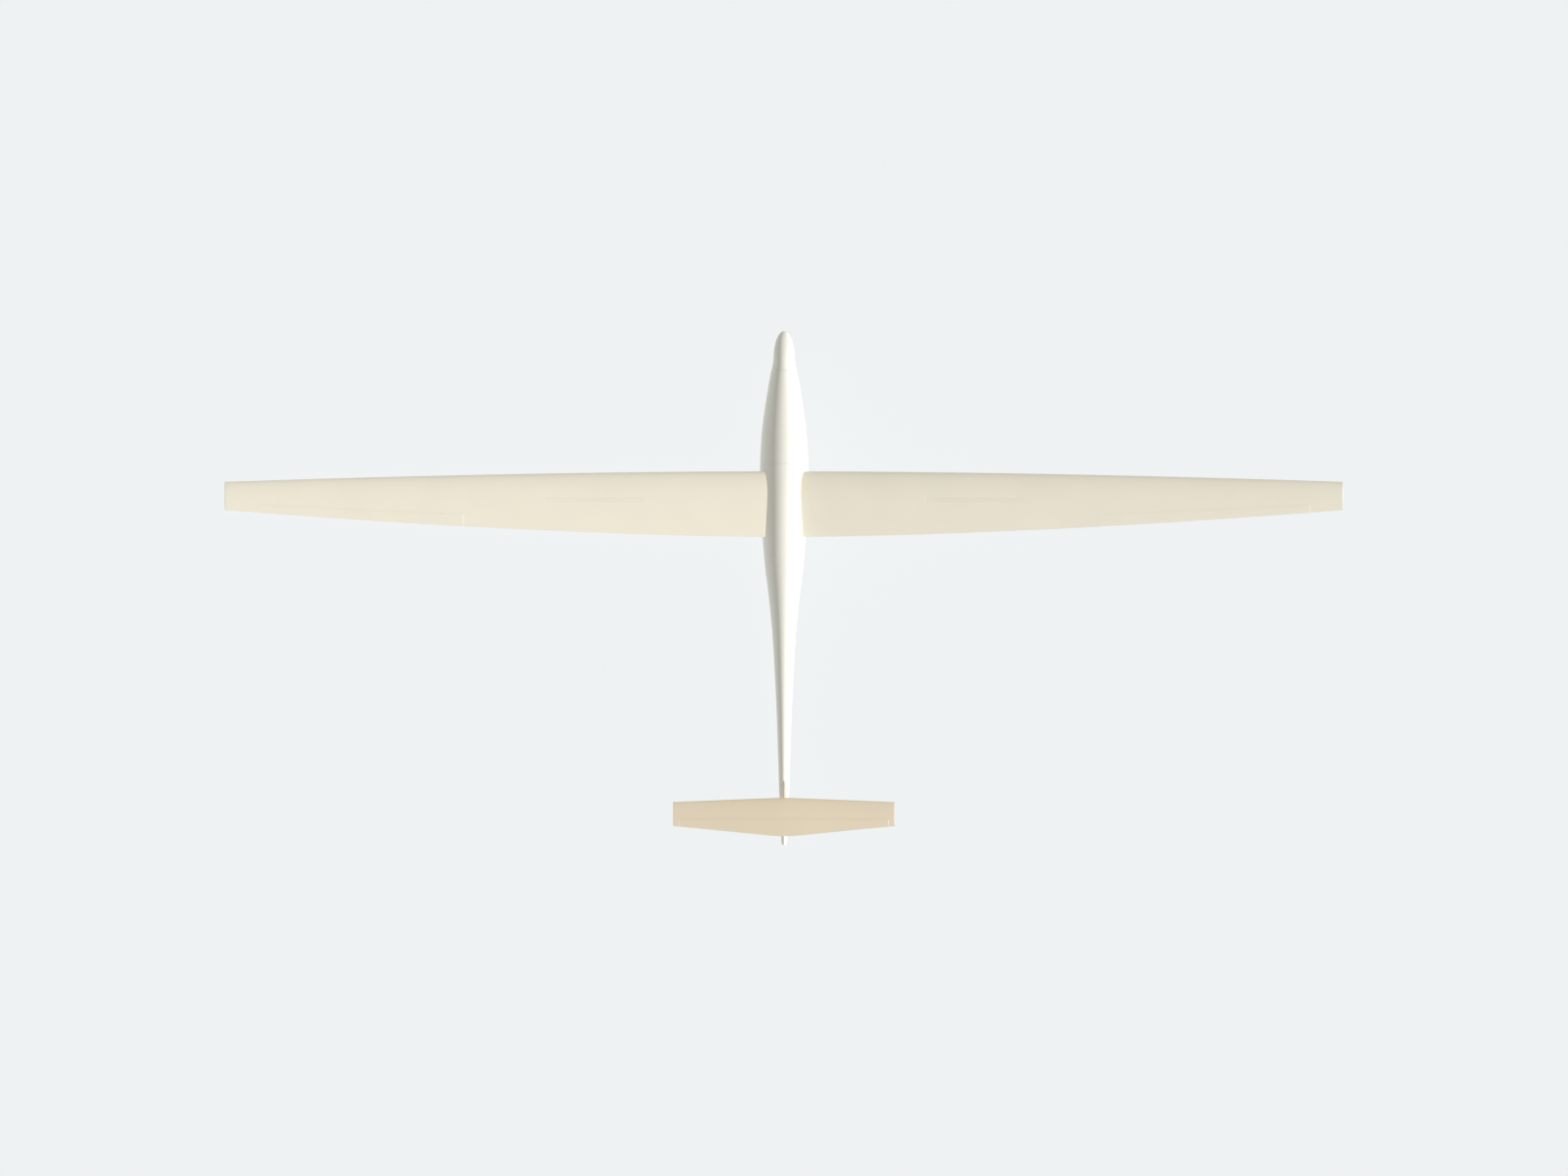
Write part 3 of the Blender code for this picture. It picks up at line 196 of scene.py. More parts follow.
@dataclass(frozen=True)
class AircraftAxes:
    """Where the aircraft's own axes lie in the frame, read from three joints.

    The wheel's axle gives X, the rudder's hinge gives Z, and the wheel's centre gives the place.
    """

    turn: Array
    origin: Array

    @classmethod
    def from_record(cls, record: dict, wheel_centre: Array) -> "AircraftAxes":
        """Reads the joints.

        Args:
            record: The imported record.
            wheel_centre: The main wheel's centre in aircraft axes.

        Returns:
            The axes.
        """
        joints = {joint["name"]: joint for joint in record["behaviour"]["joints"]}
        right = np.array(joints["main_wheel_spin"]["axis"], float)
        up = np.array(joints["rudder_hinge"]["axis"], float)
        up = unit(up - right * (up @ right))
        turn = np.column_stack([right, np.cross(up, right), up])
        return cls(turn, np.array(joints["main_wheel_spin"]["pos_m"], float) - turn @ wheel_centre)

    def place(self, points: Array) -> Array:
        """Turns points in aircraft axes into frame coordinates."""
        return np.asarray(points, float) @ self.turn.T + self.origin

    def matrix(self) -> Matrix:
        """The same change of axes as a 4 by 4 matrix."""
        return Matrix.Translation(Vector(self.origin)) @ Matrix(self.turn.tolist()).to_4x4()


@dataclass
class Skin:
    """Collects patches of a surface, in aircraft axes, and welds them into one mesh."""

    points: list[Array] = field(default_factory=list)
    faces: list[tuple[int, ...]] = field(default_factory=list)
    count: int = 0

    def add(self, points: Array, faces: Array) -> None:
        """Adds points and the faces between them.

        Args:
            points: Rows of X, Y and Z.
            faces: Rows of indices into those points.
        """
        self.points.append(np.asarray(points, float).reshape(-1, 3))
        self.faces.extend(map(tuple, (np.asarray(faces) + self.count).tolist()))
        self.count += len(self.points[-1])

    def grid(self, net: Array, wrap: bool = False, loop: bool = False) -> "Skin":
        """Adds a net, joined to itself across its columns by wrap and across its rows by loop."""
        self.add(net, quads(*net.shape[:2], wrap, loop))
        return self

    def cap(self, ring: Array) -> "Skin":
        """Closes a ring of points with one face."""
        self.add(ring, np.arange(len(ring))[None])
        return self

    def bar(self, net: Array) -> "Skin":
        """Adds rings with a cap on the first and on the last one."""
        return self.grid(net, wrap=True).cap(net[0]).cap(net[-1])

    def rim(self, one: Array, other: Array, rows: int = 2) -> "Skin":
        """Joins the edges of two nets of the same size by four walls.

        Args:
            one: First net.
            other: Second net.
            rows: Rows of points in each wall, on straight lines.

        Returns:
            This skin.
        """
        blend = np.linspace(0, 1, rows)[:, None, None]
        for edge in ((slice(None), 0), (slice(None), -1), (0, slice(None)), (-1, slice(None))):
            self.grid(one[edge] + blend * (other[edge] - one[edge]))
        return self

    def sheet(self, top: Array, under: Array) -> "Skin":
        """Adds a closed sheet between two nets of the same size."""
        return self.grid(top).grid(under).rim(top, under)

    def mesh(self, name: str, axes: AircraftAxes, weld: float = 2e-5) -> bpy.types.Mesh:
        """Welds the patches, turns their faces outward and gives the mesh.

        Args:
            name: The mesh's name.
            axes: Where the aircraft's axes lie.
            weld: Points nearer than this are joined.

        Returns:
            The mesh, in frame coordinates.
        """
        mesh = bpy.data.meshes.new(name)
        mesh.from_pydata(axes.place(np.vstack(self.points)), [], self.faces)
        shape = bmesh.new()
        shape.from_mesh(mesh)
        bmesh.ops.remove_doubles(shape, verts=shape.verts, dist=weld)
        bmesh.ops.dissolve_degenerate(shape, edges=shape.edges, dist=1e-7)
        bmesh.ops.recalc_face_normals(shape, faces=shape.faces)
        closed = all(len(edge.link_faces) == 2 for edge in shape.edges)
        if closed and shape.calc_volume(signed=True) < 0:
            bmesh.ops.reverse_faces(shape, faces=shape.faces)
        shape.to_mesh(mesh)
        shape.free()
        if not closed:
            LOG.info("%s is an open surface", name)
        return mesh


def linked(name: str, data: bpy.types.ID) -> bpy.types.Object:
    """New object in the scene."""
    item = bpy.data.objects.new(name, data)
    bpy.context.scene.collection.objects.link(item)
    return item


def joined(*parts: Skin) -> Skin:
    """Several closed shapes in one skin."""
    whole = Skin()
    for part in parts:
        whole.faces.extend(tuple(i + whole.count for i in face) for face in part.faces)
        whole.points.extend(part.points)
        whole.count += part.count
    return whole


def rod(start: Array, end: Array, radius: float, sides: int = 24, chamfer: float = 0.0) -> Skin:
    """Round bar: rings across the line between two points, smaller at both ends by the chamfer.

    Args:
        start: Middle of one end.
        end: Middle of the other end.
        radius: Radius of the rings.
        sides: Points in a ring.
        chamfer: How far the ends are cut back.

    Returns:
        The closed bar.
    """
    start, end = np.asarray(start, float), np.asarray(end, float)
    along = unit(end - start)
    side = unit(np.cross(along, ROD_ASIDE))
    turn = circle(sides)[:, None]
    ring = side * np.cos(turn) + np.cross(along, side) * np.sin(turn)
    small = radius - chamfer
    steps = ((start, 0.0, small), (start, chamfer, radius), (end, -chamfer, radius), (end, 0.0, small))
    return Skin().bar(np.stack([at + along * shift + ring * wide for at, shift, wide in steps[:: 1 if chamfer else 3]]))


def tube(path: Knots, radius: float | Array, sides: int = 16) -> Skin:
    """Bar along a path: at each point a ring across the path, turned so that it never twists about it.

    Args:
        path: Points of the middle line.
        radius: One radius, or one for each point.
        sides: Points in a ring.

    Returns:
        The closed bar.
    """
    path = np.asarray(path, float)
    along = headings(path)
    side = unit(np.cross(along, LEVEL_ASIDE if abs(along[:, 2]).mean() < STEEP else STEEP_ASIDE))
    turn = circle(sides)[None, :, None]
    wide = np.broadcast_to(np.asarray(radius, float), (len(path),))[:, None, None]
    ring = side[:, None] * np.cos(turn) + np.cross(along, side)[:, None] * np.sin(turn)
    return Skin().bar(path[:, None] + wide * ring)


def turned(profile: Knots, centre: Array, steps: int = 96) -> Skin:
    """Ring turned about a line along X: each profile point sweeps a circle round the centre.

    Args:
        profile: Points of radius and x, in order round the section.
        centre: Middle of the ring.
        steps: Points in a circle.

    Returns:
        The closed ring.
    """
    profile = np.asarray(profile, float)
    turn = circle(steps)[:, None]
    radius, along = profile[None, :, 0], profile[None, :, 1]
    rings = xyz(along, radius * np.cos(turn), radius * np.sin(turn)) + np.asarray(centre, float)
    return Skin().grid(rings, wrap=True, loop=True)


def slab(outline: Array, low: float, high: float, chamfer: float = 0.001) -> Skin:
    """Plate across X. The chamfer moves each outline point towards the outline's middle by a fixed length.

    Args:
        outline: Points of station and height.
        low: X of one face.
        high: X of the other face.
        chamfer: How far both faces' edges are cut back.

    Returns:
        The closed plate.
    """
    outline = np.asarray(outline, float)
    inward = unit(outline.mean(axis=0) - outline)
    rings = []
    for x, shrink in ((low, chamfer), (low + chamfer, 0.0), (high - chamfer, 0.0), (high, chamfer)):
        flat = outline + inward * shrink
        rings.append(xyz(x, -flat[:, 0], flat[:, 1]))
    return Skin().bar(np.stack(rings))


class Side(Enum):
    """Which wing a piece belongs to; the value is the sign of its X."""

    LEFT = -1
    RIGHT = 1

    @property
    def word(self) -> str:
        """The side's name as it stands in node names."""
        return self.name.lower()


class Grain(Enum):
    """The fine pattern that a finish shows close up."""

    SPRAYED = "sprayed"
    BRUSHED = "brushed"
    MOULDED = "moulded"
    WOVEN = "woven"


def feed(tree: Tree, made: bpy.types.Node, inputs: dict[str | int, object]) -> bpy.types.Node:
    """Fills a node's inputs.

    Args:
        tree: The tree that the node is in.
        made: The node.
        inputs: By name or number, a constant or the output that feeds the input.

    Returns:
        The node.
    """
    for name, value in inputs.items():
        if isinstance(value, Socket):
            tree.links.new(value, made.inputs[name])
        else:
            made.inputs[name].default_value = value
    return made


@dataclass(frozen=True)
class Finish:
    """One material: a base colour with faint clouds in it, and a grain that moves roughness and bump."""

    name: str
    slot: str
    colour: Triple
    roughness: float
    clouds: float = 0.012
    cloud_size: float = 0.5
    grain_size: float = 0.003
    depth: float = 0.00003
    grain: Grain = Grain.MOULDED
    metallic: float = 0.0
    coat: float = 0.0
    sheen: float = 0.0
    cloud_edges: tuple[float, float] = (0.3, 0.7)
    swing: float = 0.05
    bump_strength: float = 0.6
    coat_roughness: float = 0.15

    def material(self) -> bpy.types.Material:
        """The material on Object coordinates, made on first use.

        Returns:
            The material.
        """
        found = bpy.data.materials.get(self.name)
        if found:
            return found
        material = bpy.data.materials.new(self.name)
        material.use_nodes = True
        material.diffuse_color = (*self.colour, 1)
        tree = material.node_tree
        place = tree.nodes.new("ShaderNodeTexCoord").outputs["Object"]
        ramp = feed(tree, tree.nodes.new("ShaderNodeValToRGB"), {"Fac": self._noise(tree, place, self.cloud_size, 3.0)})
        for element, position, sign in zip(ramp.color_ramp.elements, self.cloud_edges, (-1, 1)):
            element.position = position
            element.color = (*np.clip(np.array(self.colour) * (1 + sign * self.clouds), 0, 1), 1)
        grain = self._grain(tree, place)
        limits = {"To Min": max(self.roughness - self.swing, 0.02), "To Max": min(self.roughness + self.swing, 1.0)}
        spread = feed(tree, tree.nodes.new("ShaderNodeMapRange"), {"Value": grain, **limits})
        height = {"Strength": self.bump_strength, "Distance": self.depth, "Height": grain}
        bump = feed(tree, tree.nodes.new("ShaderNodeBump"), height)
        feed(tree, tree.nodes["Principled BSDF"], {
            "Metallic": self.metallic, "Coat Weight": self.coat, "Sheen Weight": self.sheen,
            "Coat Roughness": self.coat_roughness, "Base Color": ramp.outputs["Color"],
            "Roughness": spread.outputs["Result"], "Normal": bump.outputs["Normal"],
        })
        return material

    def _noise(self, tree: Tree, place: Socket, size: float, detail: float) -> Socket:
        """Noise in lumps of a size in metres."""
        noise = tree.nodes.new("ShaderNodeTexNoise")
        return feed(tree, noise, {"Scale": 1 / size, "Detail": detail, "Vector": place}).outputs["Fac"]

    def _grain(self, tree: Tree, place: Socket) -> Socket:
        """Height of the fine pattern.

        Sprayed and moulded finishes are plain noise, brushed metal is noise stretched along Z, and cloth is the
        larger of two crossed waves.

        Args:
            tree: The material's tree.
            place: Object coordinates.

        Returns:
            The height.
        """
        if self.grain is Grain.WOVEN:
            larger = tree.nodes.new("ShaderNodeMath")
            larger.operation = "MAXIMUM"
            for number, direction in enumerate(("X", "Y")):
                wave = tree.nodes.new("ShaderNodeTexWave")
                wave.bands_direction = direction
                feed(tree, wave, {"Scale": 0.35 / self.grain_size, "Distortion": 0.6, "Vector": place})
                feed(tree, larger, {number: wave.outputs["Fac"]})
            return larger.outputs["Value"]
        if self.grain is Grain.BRUSHED:
            stretch = tree.nodes.new("ShaderNodeMapping")
            place = feed(tree, stretch, {"Scale": (1.0, 1.0, 0.05), "Vector": place}).outputs["Vector"]
        return self._noise(tree, place, self.grain_size, 2.0 if self.grain is Grain.SPRAYED else 6.0)


@dataclass(frozen=True)
class Finishes:
    """Every finish on the aircraft."""

    gelcoat: Finish = Finish("hull_gelcoat", "gelcoat", (0.87, 0.853, 0.752), 0.42, 0.008, grain=Grain.SPRAYED)
    wing: Finish = Finish("wing_gelcoat", "wing_paint", (0.80, 0.747, 0.613), 0.48, grain=Grain.SPRAYED)
    tail: Finish = Finish("tail_gelcoat", "tail_paint", (0.725, 0.626, 0.458), 0.48, grain=Grain.SPRAYED)
    # The fin's tan is the tail's tan made about an eighth darker: painted shade that tones down the light the floor
    # throws on the fin's lit side.
    fin: Finish = Finish("fin_tan_painted_shade", "tail_paint", (0.64, 0.553, 0.405), 0.48, grain=Grain.SPRAYED)
    seal: Finish = Finish("seal_tape", "wing_paint", (0.785, 0.733, 0.602), 0.4, 0.01, depth=0.00002)
    tail_seal: Finish = Finish("tail_seal_tape", "tail_paint", (0.71, 0.61, 0.45), 0.4, 0.01, depth=0.00002)
    steel: Finish = Finish(
        "frame_steel", "steel", (0.42, 0.43, 0.45), 0.42, 0.06, 0.1, 0.0015, 0.0001, Grain.BRUSHED, 1.0
    )
    alloy: Finish = Finish(
        "turned_alloy", "alloy", (0.68, 0.69, 0.70), 0.32, 0.04, 0.08, 0.001, 0.0001, Grain.BRUSHED, 1.0
    )
    tyre: Finish = Finish("tyre_rubber", "tyre", (0.028, 0.027, 0.026), 0.82, 0.25, 0.05, 0.0012, 0.0004)
    skid: Finish = Finish("skid_rubber", "skid", (0.035, 0.033, 0.03), 0.85, 0.3, 0.03, 0.001, 0.0004)
    cloth: Finish = Finish(
        "seat_cloth", "upholstery", (0.13, 0.125, 0.12), 0.92, 0.12, 0.1, 0.002, 0.0006, Grain.WOVEN, sheen=0.25
    )
    webbing: Finish = Finish(
        "harness_webbing", "upholstery", (0.10, 0.105, 0.12), 0.8, 0.08, 0.05, 0.0012, 0.0006, Grain.WOVEN
    )
    liner: Finish = Finish("cockpit_liner", "upholstery", (0.36, 0.35, 0.33), 0.9, 0.06, 0.12, 0.0015, 0.0003)
    panel: Finish = Finish("panel_plastic", "panel", (0.045, 0.045, 0.048), 0.6, 0.1, 0.05, 0.0008, 0.0003)
    dial: Finish = Finish("dial_face", "panel", (0.012, 0.012, 0.013), 0.5, 0.1, 0.02, 0.0006, 0.00005, coat=0.6)
    mark: Finish = Finish("dial_marks", "panel", (0.85, 0.84, 0.80), 0.5, 0.03, 0.02, 0.0006, 0.00005)
    knob: Finish = Finish("lever_knob", "panel", (0.05, 0.13, 0.42), 0.35, 0.05, 0.02, 0.0008, 0.0001, coat=0.3)
    release: Finish = Finish("release_knob", "panel", (0.75, 0.55, 0.04), 0.35, 0.05, 0.02, 0.0008, 0.0001, coat=0.3)


@dataclass
class Workshop:
    """Makes the object of each piece, paints it and fastens it to its body."""

    axes: AircraftAxes
    nodes: dict[str, bpy.types.Object]
    sharp: float = math.radians(32)
    made: int = 0

    def piece(
        self, name: str, shape: Skin | bpy.types.Mesh, finish: Finish, body: str = ROOT, replaces: Sequence[str] = ()
    ) -> bpy.types.Object:
        """Makes one piece.

        Args:
            name: The piece's name.
            shape: Its skin, or a mesh in frame coordinates.
            finish: Its finish.
            body: The body that it rides on.
            replaces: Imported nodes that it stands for.

        Returns:
            The object, at the origin.
        """
        mesh = shape.mesh(name, self.axes) if isinstance(shape, Skin) else shape
        item = linked(name, mesh)
        mesh.materials.clear()
        mesh.materials.append(finish.material())
        mesh.shade_smooth()
        mesh.set_sharp_from_angle(angle=self.sharp)
        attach(item, body)
        if replaces:
            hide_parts(*replaces)
        self.made += 1
        LOG.info("%s: %d faces on %s", name, len(mesh.polygons), body)
        return item

    def repaint(self, finish: Finish, *names: str) -> None:
        """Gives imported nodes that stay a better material."""
        for name in names:
            for place in self.nodes[name].material_slots:
                place.material = finish.material()

    def carve(self, shape: Skin, name: str, cutters: Sequence[Skin]) -> bpy.types.Mesh:
        """Cuts closed shapes out of a closed shape.

        Args:
            shape: What is cut.
            name: The mesh's name.
            cutters: What is taken away.

        Returns:
            The mesh with the cuts in it.
        """
        names = [f"{name}_{number}" for number in range(len(cutters) + 1)]
        blank, *tools = (linked(word, part.mesh(word, self.axes)) for word, part in zip(names, (shape, *cutters)))
        for tool in tools:
            change = blank.modifiers.new(tool.name, "BOOLEAN")
            change.operation, change.solver, change.object = "DIFFERENCE", "EXACT", tool
        result = bpy.data.meshes.new_from_object(blank.evaluated_get(bpy.context.evaluated_depsgraph_get()))
        result.name = name
        for item in (blank, *tools):
            bpy.data.objects.remove(item)
        return result


@dataclass(frozen=True)
class HullForm:
    """The fuselage's skin as a function of station and turn.

    Half-width, top and bottom are curves along the station. Each section is two half ellipses that meet at the
    widest line: X is half-width times the cosine of the turn, and Z rises from the widest line by the height to
    the top, or falls by the depth to the bottom, times its sine.
    """

    length: float = 6.888
    nose_length: float = 0.37
    nose_half_width: float = 0.1415
    nose_drop: float = 0.04
    belly: float = 1.90
    belly_depth: float = 0.35
    belly_power: float = 0.7
    wall: float = 0.015
    widths: Knots = (
        (0.37, 0.1415), (0.42, 0.147), (0.55, 0.175), (0.76, 0.214), (0.97, 0.248), (1.18, 0.278), (1.50, 0.309),
        (1.90, 0.325), (2.30, 0.315), (2.84, 0.283), (3.16, 0.255), (3.47, 0.217), (3.79, 0.181), (4.10, 0.154),
        (4.58, 0.125), (5.13, 0.099), (5.81, 0.077), (6.23, 0.064), (6.888, 0.033),
    )
    tops: Knots = (
        (0.0, 0.095), (0.37, 0.168), (0.80, 0.252), (1.20, 0.322), (1.60, 0.378), (1.90, 0.408), (2.15, 0.418),
        (2.45, 0.402), (2.75, 0.355), (3.10, 0.300), (3.60, 0.240), (4.20, 0.180), (5.00, 0.132), (6.00, 0.098),
        (6.888, 0.064),
    )
    bottoms: Knots = (
        (1.90, -0.39), (2.25, -0.375), (2.70, -0.300), (3.10, -0.240), (3.60, -0.180), (4.20, -0.128),
        (5.00, -0.080), (6.00, -0.050), (6.888, -0.014),
    )

    def section(self, station: Array) -> tuple[Array, Array, Array, Array]:
        """Half-width, top, bottom and height of the widest line.

        Along the nose the half-width and the top shrink as an ellipse does, the root of one less the square of
        the share still to go, and the widest line falls by that square. The belly falls as one less the square
        of the share still to go to the belly's station, to a power.

        Args:
            station: Where the sections stand.

        Returns:
            The four values at those stations.
        """
        station = np.asarray(station, float)
        reach = np.clip(1 - station / self.nose_length, 0, 1)
        fullness = np.sqrt(1 - reach**2)
        line = -self.nose_drop * reach**2
        width = np.where(
            station < self.nose_length, self.nose_half_width * fullness, monotone(station, self.widths)
        )
        top = line + monotone(station, self.tops) * fullness
        rise = 1 - (1 - np.clip(station / self.belly, 0, 1)) ** 2
        ahead = -self.nose_drop - self.belly_depth * rise**self.belly_power
        return width, top, np.where(station < self.belly, ahead, monotone(station, self.bottoms)), line

    def skin(self, station: Array, turn: Array, offset: float = 0.0) -> Array:
        """Points of the skin, set outward by an offset.

        Args:
            station: Stations.
            turn: Turns from the right-hand widest line upward.
            offset: Distance outside the skin.

        Returns:
            The points.
        """
        station, turn = np.broadcast_arrays(np.asarray(station, float), np.asarray(turn, float))
        width, top, bottom, line = self.section(station)
        rise = np.where(np.sin(turn) > 0, top + offset - line, line - bottom + offset)
        return xyz((width + offset) * np.cos(turn), -station, line + rise * np.sin(turn))

    def turn_at(self, station: Array, height: Array, offset: float = 0.0) -> Array:
        """Turn, on the right side, at which the skin aft of the nose passes a height: an arc sine."""
        _, top, bottom, _ = self.section(station)
        rise = np.where(np.asarray(height) > 0, top + offset, offset - bottom)
        return np.arcsin(np.clip(height / rise, -1, 1))

    def half_width(self, station: Array, height: Array, offset: float = 0.0) -> Array:
        """Half-width of the skin at a height."""
        return (self.section(station)[0] + offset) * np.cos(self.turn_at(station, height, offset))

    def top_at(self, station: Array, x: Array) -> Array:
        """Height of the upper skin at a distance from the centre plane."""
        width, top, _, _ = self.section(station)
        return top * oval(x / width)

    def floor_at(self, station: Array, x: Array) -> Array:
        """Height of the cockpit's floor, two seat gaps above the inner skin."""
        width, _, bottom, _ = self.section(station)
        inset = self.wall + 2 * SEAT
        return (bottom + inset) * oval(x / (width - inset))

    def inner(self, station: Array, height: Array) -> Array:
        """Half-width of the space between the cockpit's walls."""
        return self.half_width(station, height, -self.wall - 2 * SEAT)


@dataclass(frozen=True)
class CanopyEdge:
    """The canopy's outline from the side: a level sill, round lower corners, ends that lean together upward."""

    front: float = 0.52
    rear: float = 1.795
    sill: float = 0.10
    corner: float = 0.05
    lean: float = 0.03
    lean_top: float = 0.52

    def setback(self, height: Array) -> Array:
        """How far an end lies inside the outline's box at a height: a quarter circle, then a straight lean."""
        shoulder = self.sill + self.corner
        down = np.clip(shoulder - height, 0, self.corner)
        arc = self.corner - np.sqrt(self.corner**2 - down**2)
        return arc + self.lean * np.clip(height - shoulder, 0, None) / (self.lean_top - shoulder)

    def fore(self, height: Array) -> Array:
        """Station of the front edge at a height."""
        return self.front + self.setback(height)

    def aft(self, height: Array) -> Array:
        """Station of the rear edge at a height."""
        return self.rear - self.setback(height)

    def inset(self, seam: float, lift: float) -> "CanopyEdge":
        """The same outline, smaller by a seam all round and lifted off the sill."""
        return replace(
            self, front=self.front + seam, rear=self.rear - seam, sill=self.sill + lift, corner=self.corner - seam
        )


@dataclass(frozen=True)
class WellSize:
    """A wheel well: stations of its ends, half-width, and height of its roof."""

    front: float
    rear: float
    half_width: float
    top: float


@dataclass
class Fuselage:
    """Nose, cockpit tub, canopy hood, centre section and tail boom."""

    finishes: Finishes
    form: HullForm = field(default_factory=HullForm)
    edge: CanopyEdge = field(default_factory=CanopyEdge)
    nose_joint: float = 0.40
    cavity_front: float = 0.46
    tub_rear: float = 1.84
    boom_joint: float = 3.05
    tail_round: float = 0.012
    tail_face: float = 0.35
    round_columns: int = 128
    under_columns: int = 97
    row_length: float = 0.05
    seam: float = 0.002
    seal_depth: float = 0.006
    seal_ahead: float = 0.010
    seal_behind: float = 0.004

    def over(self, stations: Array, shares: Array, sill: float, offset: float) -> Array:
        """Skin points over the top, from the right sill to the left one.

        The turn runs from the sill's own turn t to a half turn less t, so it is t + share times (pi - 2t).

        Args:
            stations: Stations.
            shares: Shares of the way from sill to sill.
            sill: Height of the sill.
            offset: Distance outside the skin.

        Returns:
            The points.
        """
        low = self.form.turn_at(stations, sill, offset)
        return self.form.skin(stations, low + shares * (math.pi - 2 * low), offset)

    def crossing(self, edge: Callable[[Array], Array], shares: Array, sill: float, offset: float) -> Array:
        """Station at which an edge crosses each line over the top.

        Solved by repetition: the station is moved half way to where the edge lies at that point's height.

        Args:
            edge: Gives the edge's station at a height.
            shares: Which lines.
            sill: Height of the sill.
            offset: Distance outside the skin.

        Returns:
            The stations.
        """
        station = np.full_like(shares, float(edge(np.array(sill))))
        for _ in range(80):
            height = self.over(station, shares, sill, offset)[..., 2]
            station = 0.5 * (station + edge(np.maximum(height, sill)))
        return station

    def deck(self, start: Array, end: Array, rows: int, shares: Array, sill: float, offset: float) -> Array:
        """Patch over the top between two edges: each line runs straight in station from start to end."""
        blend = np.linspace(0, 1, rows)[:, None]
        return self.over(start + blend * (end - start), shares[None, :], sill, offset)

    def below(self, stations: Array, offset: float) -> Array:
        """Patch under the sill: the turn runs from the right sill down and round to the left sill."""
        low = self.form.turn_at(stations, self.edge.sill, offset)[:, None]
        turn = low - np.linspace(0, 1, self.under_columns) * (math.pi + 2 * low)
        return self.form.skin(stations[:, None], turn, offset)

    def ring(self, station: float, offset: float, shares: Array) -> Array:
        """Whole ring at a station, with the same points as the patches that end there."""
        over = self.over(np.full_like(shares, station), shares, self.edge.sill, offset)
        return np.vstack([over, self.below(np.array([station]), offset)[0, -2:0:-1]])

    def nose(self) -> Skin:
        """Nose cone: stations crowd towards the tip as one less a cosine."""
        stations = self.form.nose_length * (1 - np.cos(np.linspace(0, math.pi / 2, 40)))
        rings = self.form.skin(np.append(stations, self.nose_joint - SEAT)[:, None], circle(self.round_columns))
        return Skin().grid(rings, wrap=True).cap(rings[-1])

    def tub(self) -> Skin:
        """Cockpit tub: outer and inner skins, each in three patches, with rims between them.

        Returns:
            The tub, open at the canopy.
        """
        shares = eased(0, 1, 81)
        edge, wall = self.edge, self.form.wall
        level = np.linspace(edge.front + edge.corner, edge.rear - edge.corner, 49)
        fore_rows, aft_rows = 10, 8
        skin, rims = Skin(), []
        for offset, front in ((0.0, self.nose_joint), (-wall, self.cavity_front)):
            fore, aft = (self.crossing(line, shares, edge.sill, offset) for line in (edge.fore, edge.aft))
            ahead = self.deck(np.full_like(shares, front), fore, fore_rows, shares, edge.sill, offset)
            behind = self.deck(aft, np.full_like(shares, self.tub_rear), aft_rows, shares, edge.sill, offset)
            under = self.below(np.concatenate([-ahead[:-1, 0, 1], level, -behind[1:, 0, 1]]), offset)
            skin.grid(ahead).grid(behind).grid(under).cap(self.ring(front, offset, shares))
            sill = under[fore_rows - 1 : fore_rows - 1 + len(level)]
            rims.append((ahead[-1], behind[0], sill[:, 0], sill[:, -1]))
        for outer, inner in zip(*rims):
            skin.grid(np.stack([outer, inner]))
        return skin.grid(np.stack([self.ring(self.tub_rear, offset, shares) for offset in (0.0, -wall)]), wrap=True)

    def hood(self) -> Skin:
        """Canopy hood: the skin above the sill between its two ends, inside and out, with a rim all round."""
        shares = eased(0, 1, 97)
        edge = self.edge.inset(self.seam, SEAT)
        faces = []
        for offset in (0.0, -self.form.wall):
            fore, aft = (self.crossing(line, shares, edge.sill, offset) for line in (edge.fore, edge.aft))
            faces.append(self.deck(fore, aft, 73, shares, edge.sill, offset))
        return Skin().sheet(*faces)

    def barrel(self, start: float, end: float, well: WellSize, tail_round: float = 0.0) -> Skin:
        """Closed hull section with a wheel well in its underside.

        The turn has breaks where the skin is as wide as the well, so the hole's edges are lines of the net. At a
        round rear end the ring shrinks by the cosine of a quarter turn as it moves aft by the sine.

        Args:
            start: Front station.
            end: Rear station.
            well: The wheel well.
            tail_round: Length of the rounding at the rear end.

        Returns:
            The closed skin.
        """
        before = np.linspace(start, well.front, max(int((well.front - start) / self.row_length), 2))
        inside = np.linspace(well.front, well.rear, 13)
        after = np.linspace(well.rear, end - tail_round, max(int((end - well.rear) / self.row_length), 2))
        stations = np.concatenate([before, inside[1:], after[1:]])
        gap = np.arccos(np.clip(well.half_width / self.form.section(stations)[0], -1, 1))[:, None]
        low, high = -math.pi + gap, -gap
        upper = self.form.skin(stations[:, None], high + np.linspace(0, 1, 105) * (TURN + low - high))
        lower = self.form.skin(stations[:, None], low + np.linspace(0, 1, 13) * (high - low))
        first, last = len(before) - 1, len(before) + len(inside) - 2
        hole = lower[first : last + 1]
        roof = hole.copy()
        roof[..., 2] = well.top
        skin = Skin().grid(upper).grid(lower[: first + 1]).grid(lower[last:]).grid(roof).rim(hole, roof, 5)
        fore, aft = (np.vstack([upper[i], lower[i][1:-1]]) for i in (0, -1))
        skin.cap(fore)
        if not tail_round:
            return skin.cap(aft)
        turn = np.linspace(0, math.pi / 2, 8)[:, None, None]
        middle = aft.mean(axis=0)
        curve = middle + (aft - middle) * (self.tail_face + (1 - self.tail_face) * np.cos(turn))
        curve[..., 1] = aft[0, 1] - tail_round * np.sin(turn[..., 0])
        return skin.grid(curve, wrap=True).cap(curve[-1])

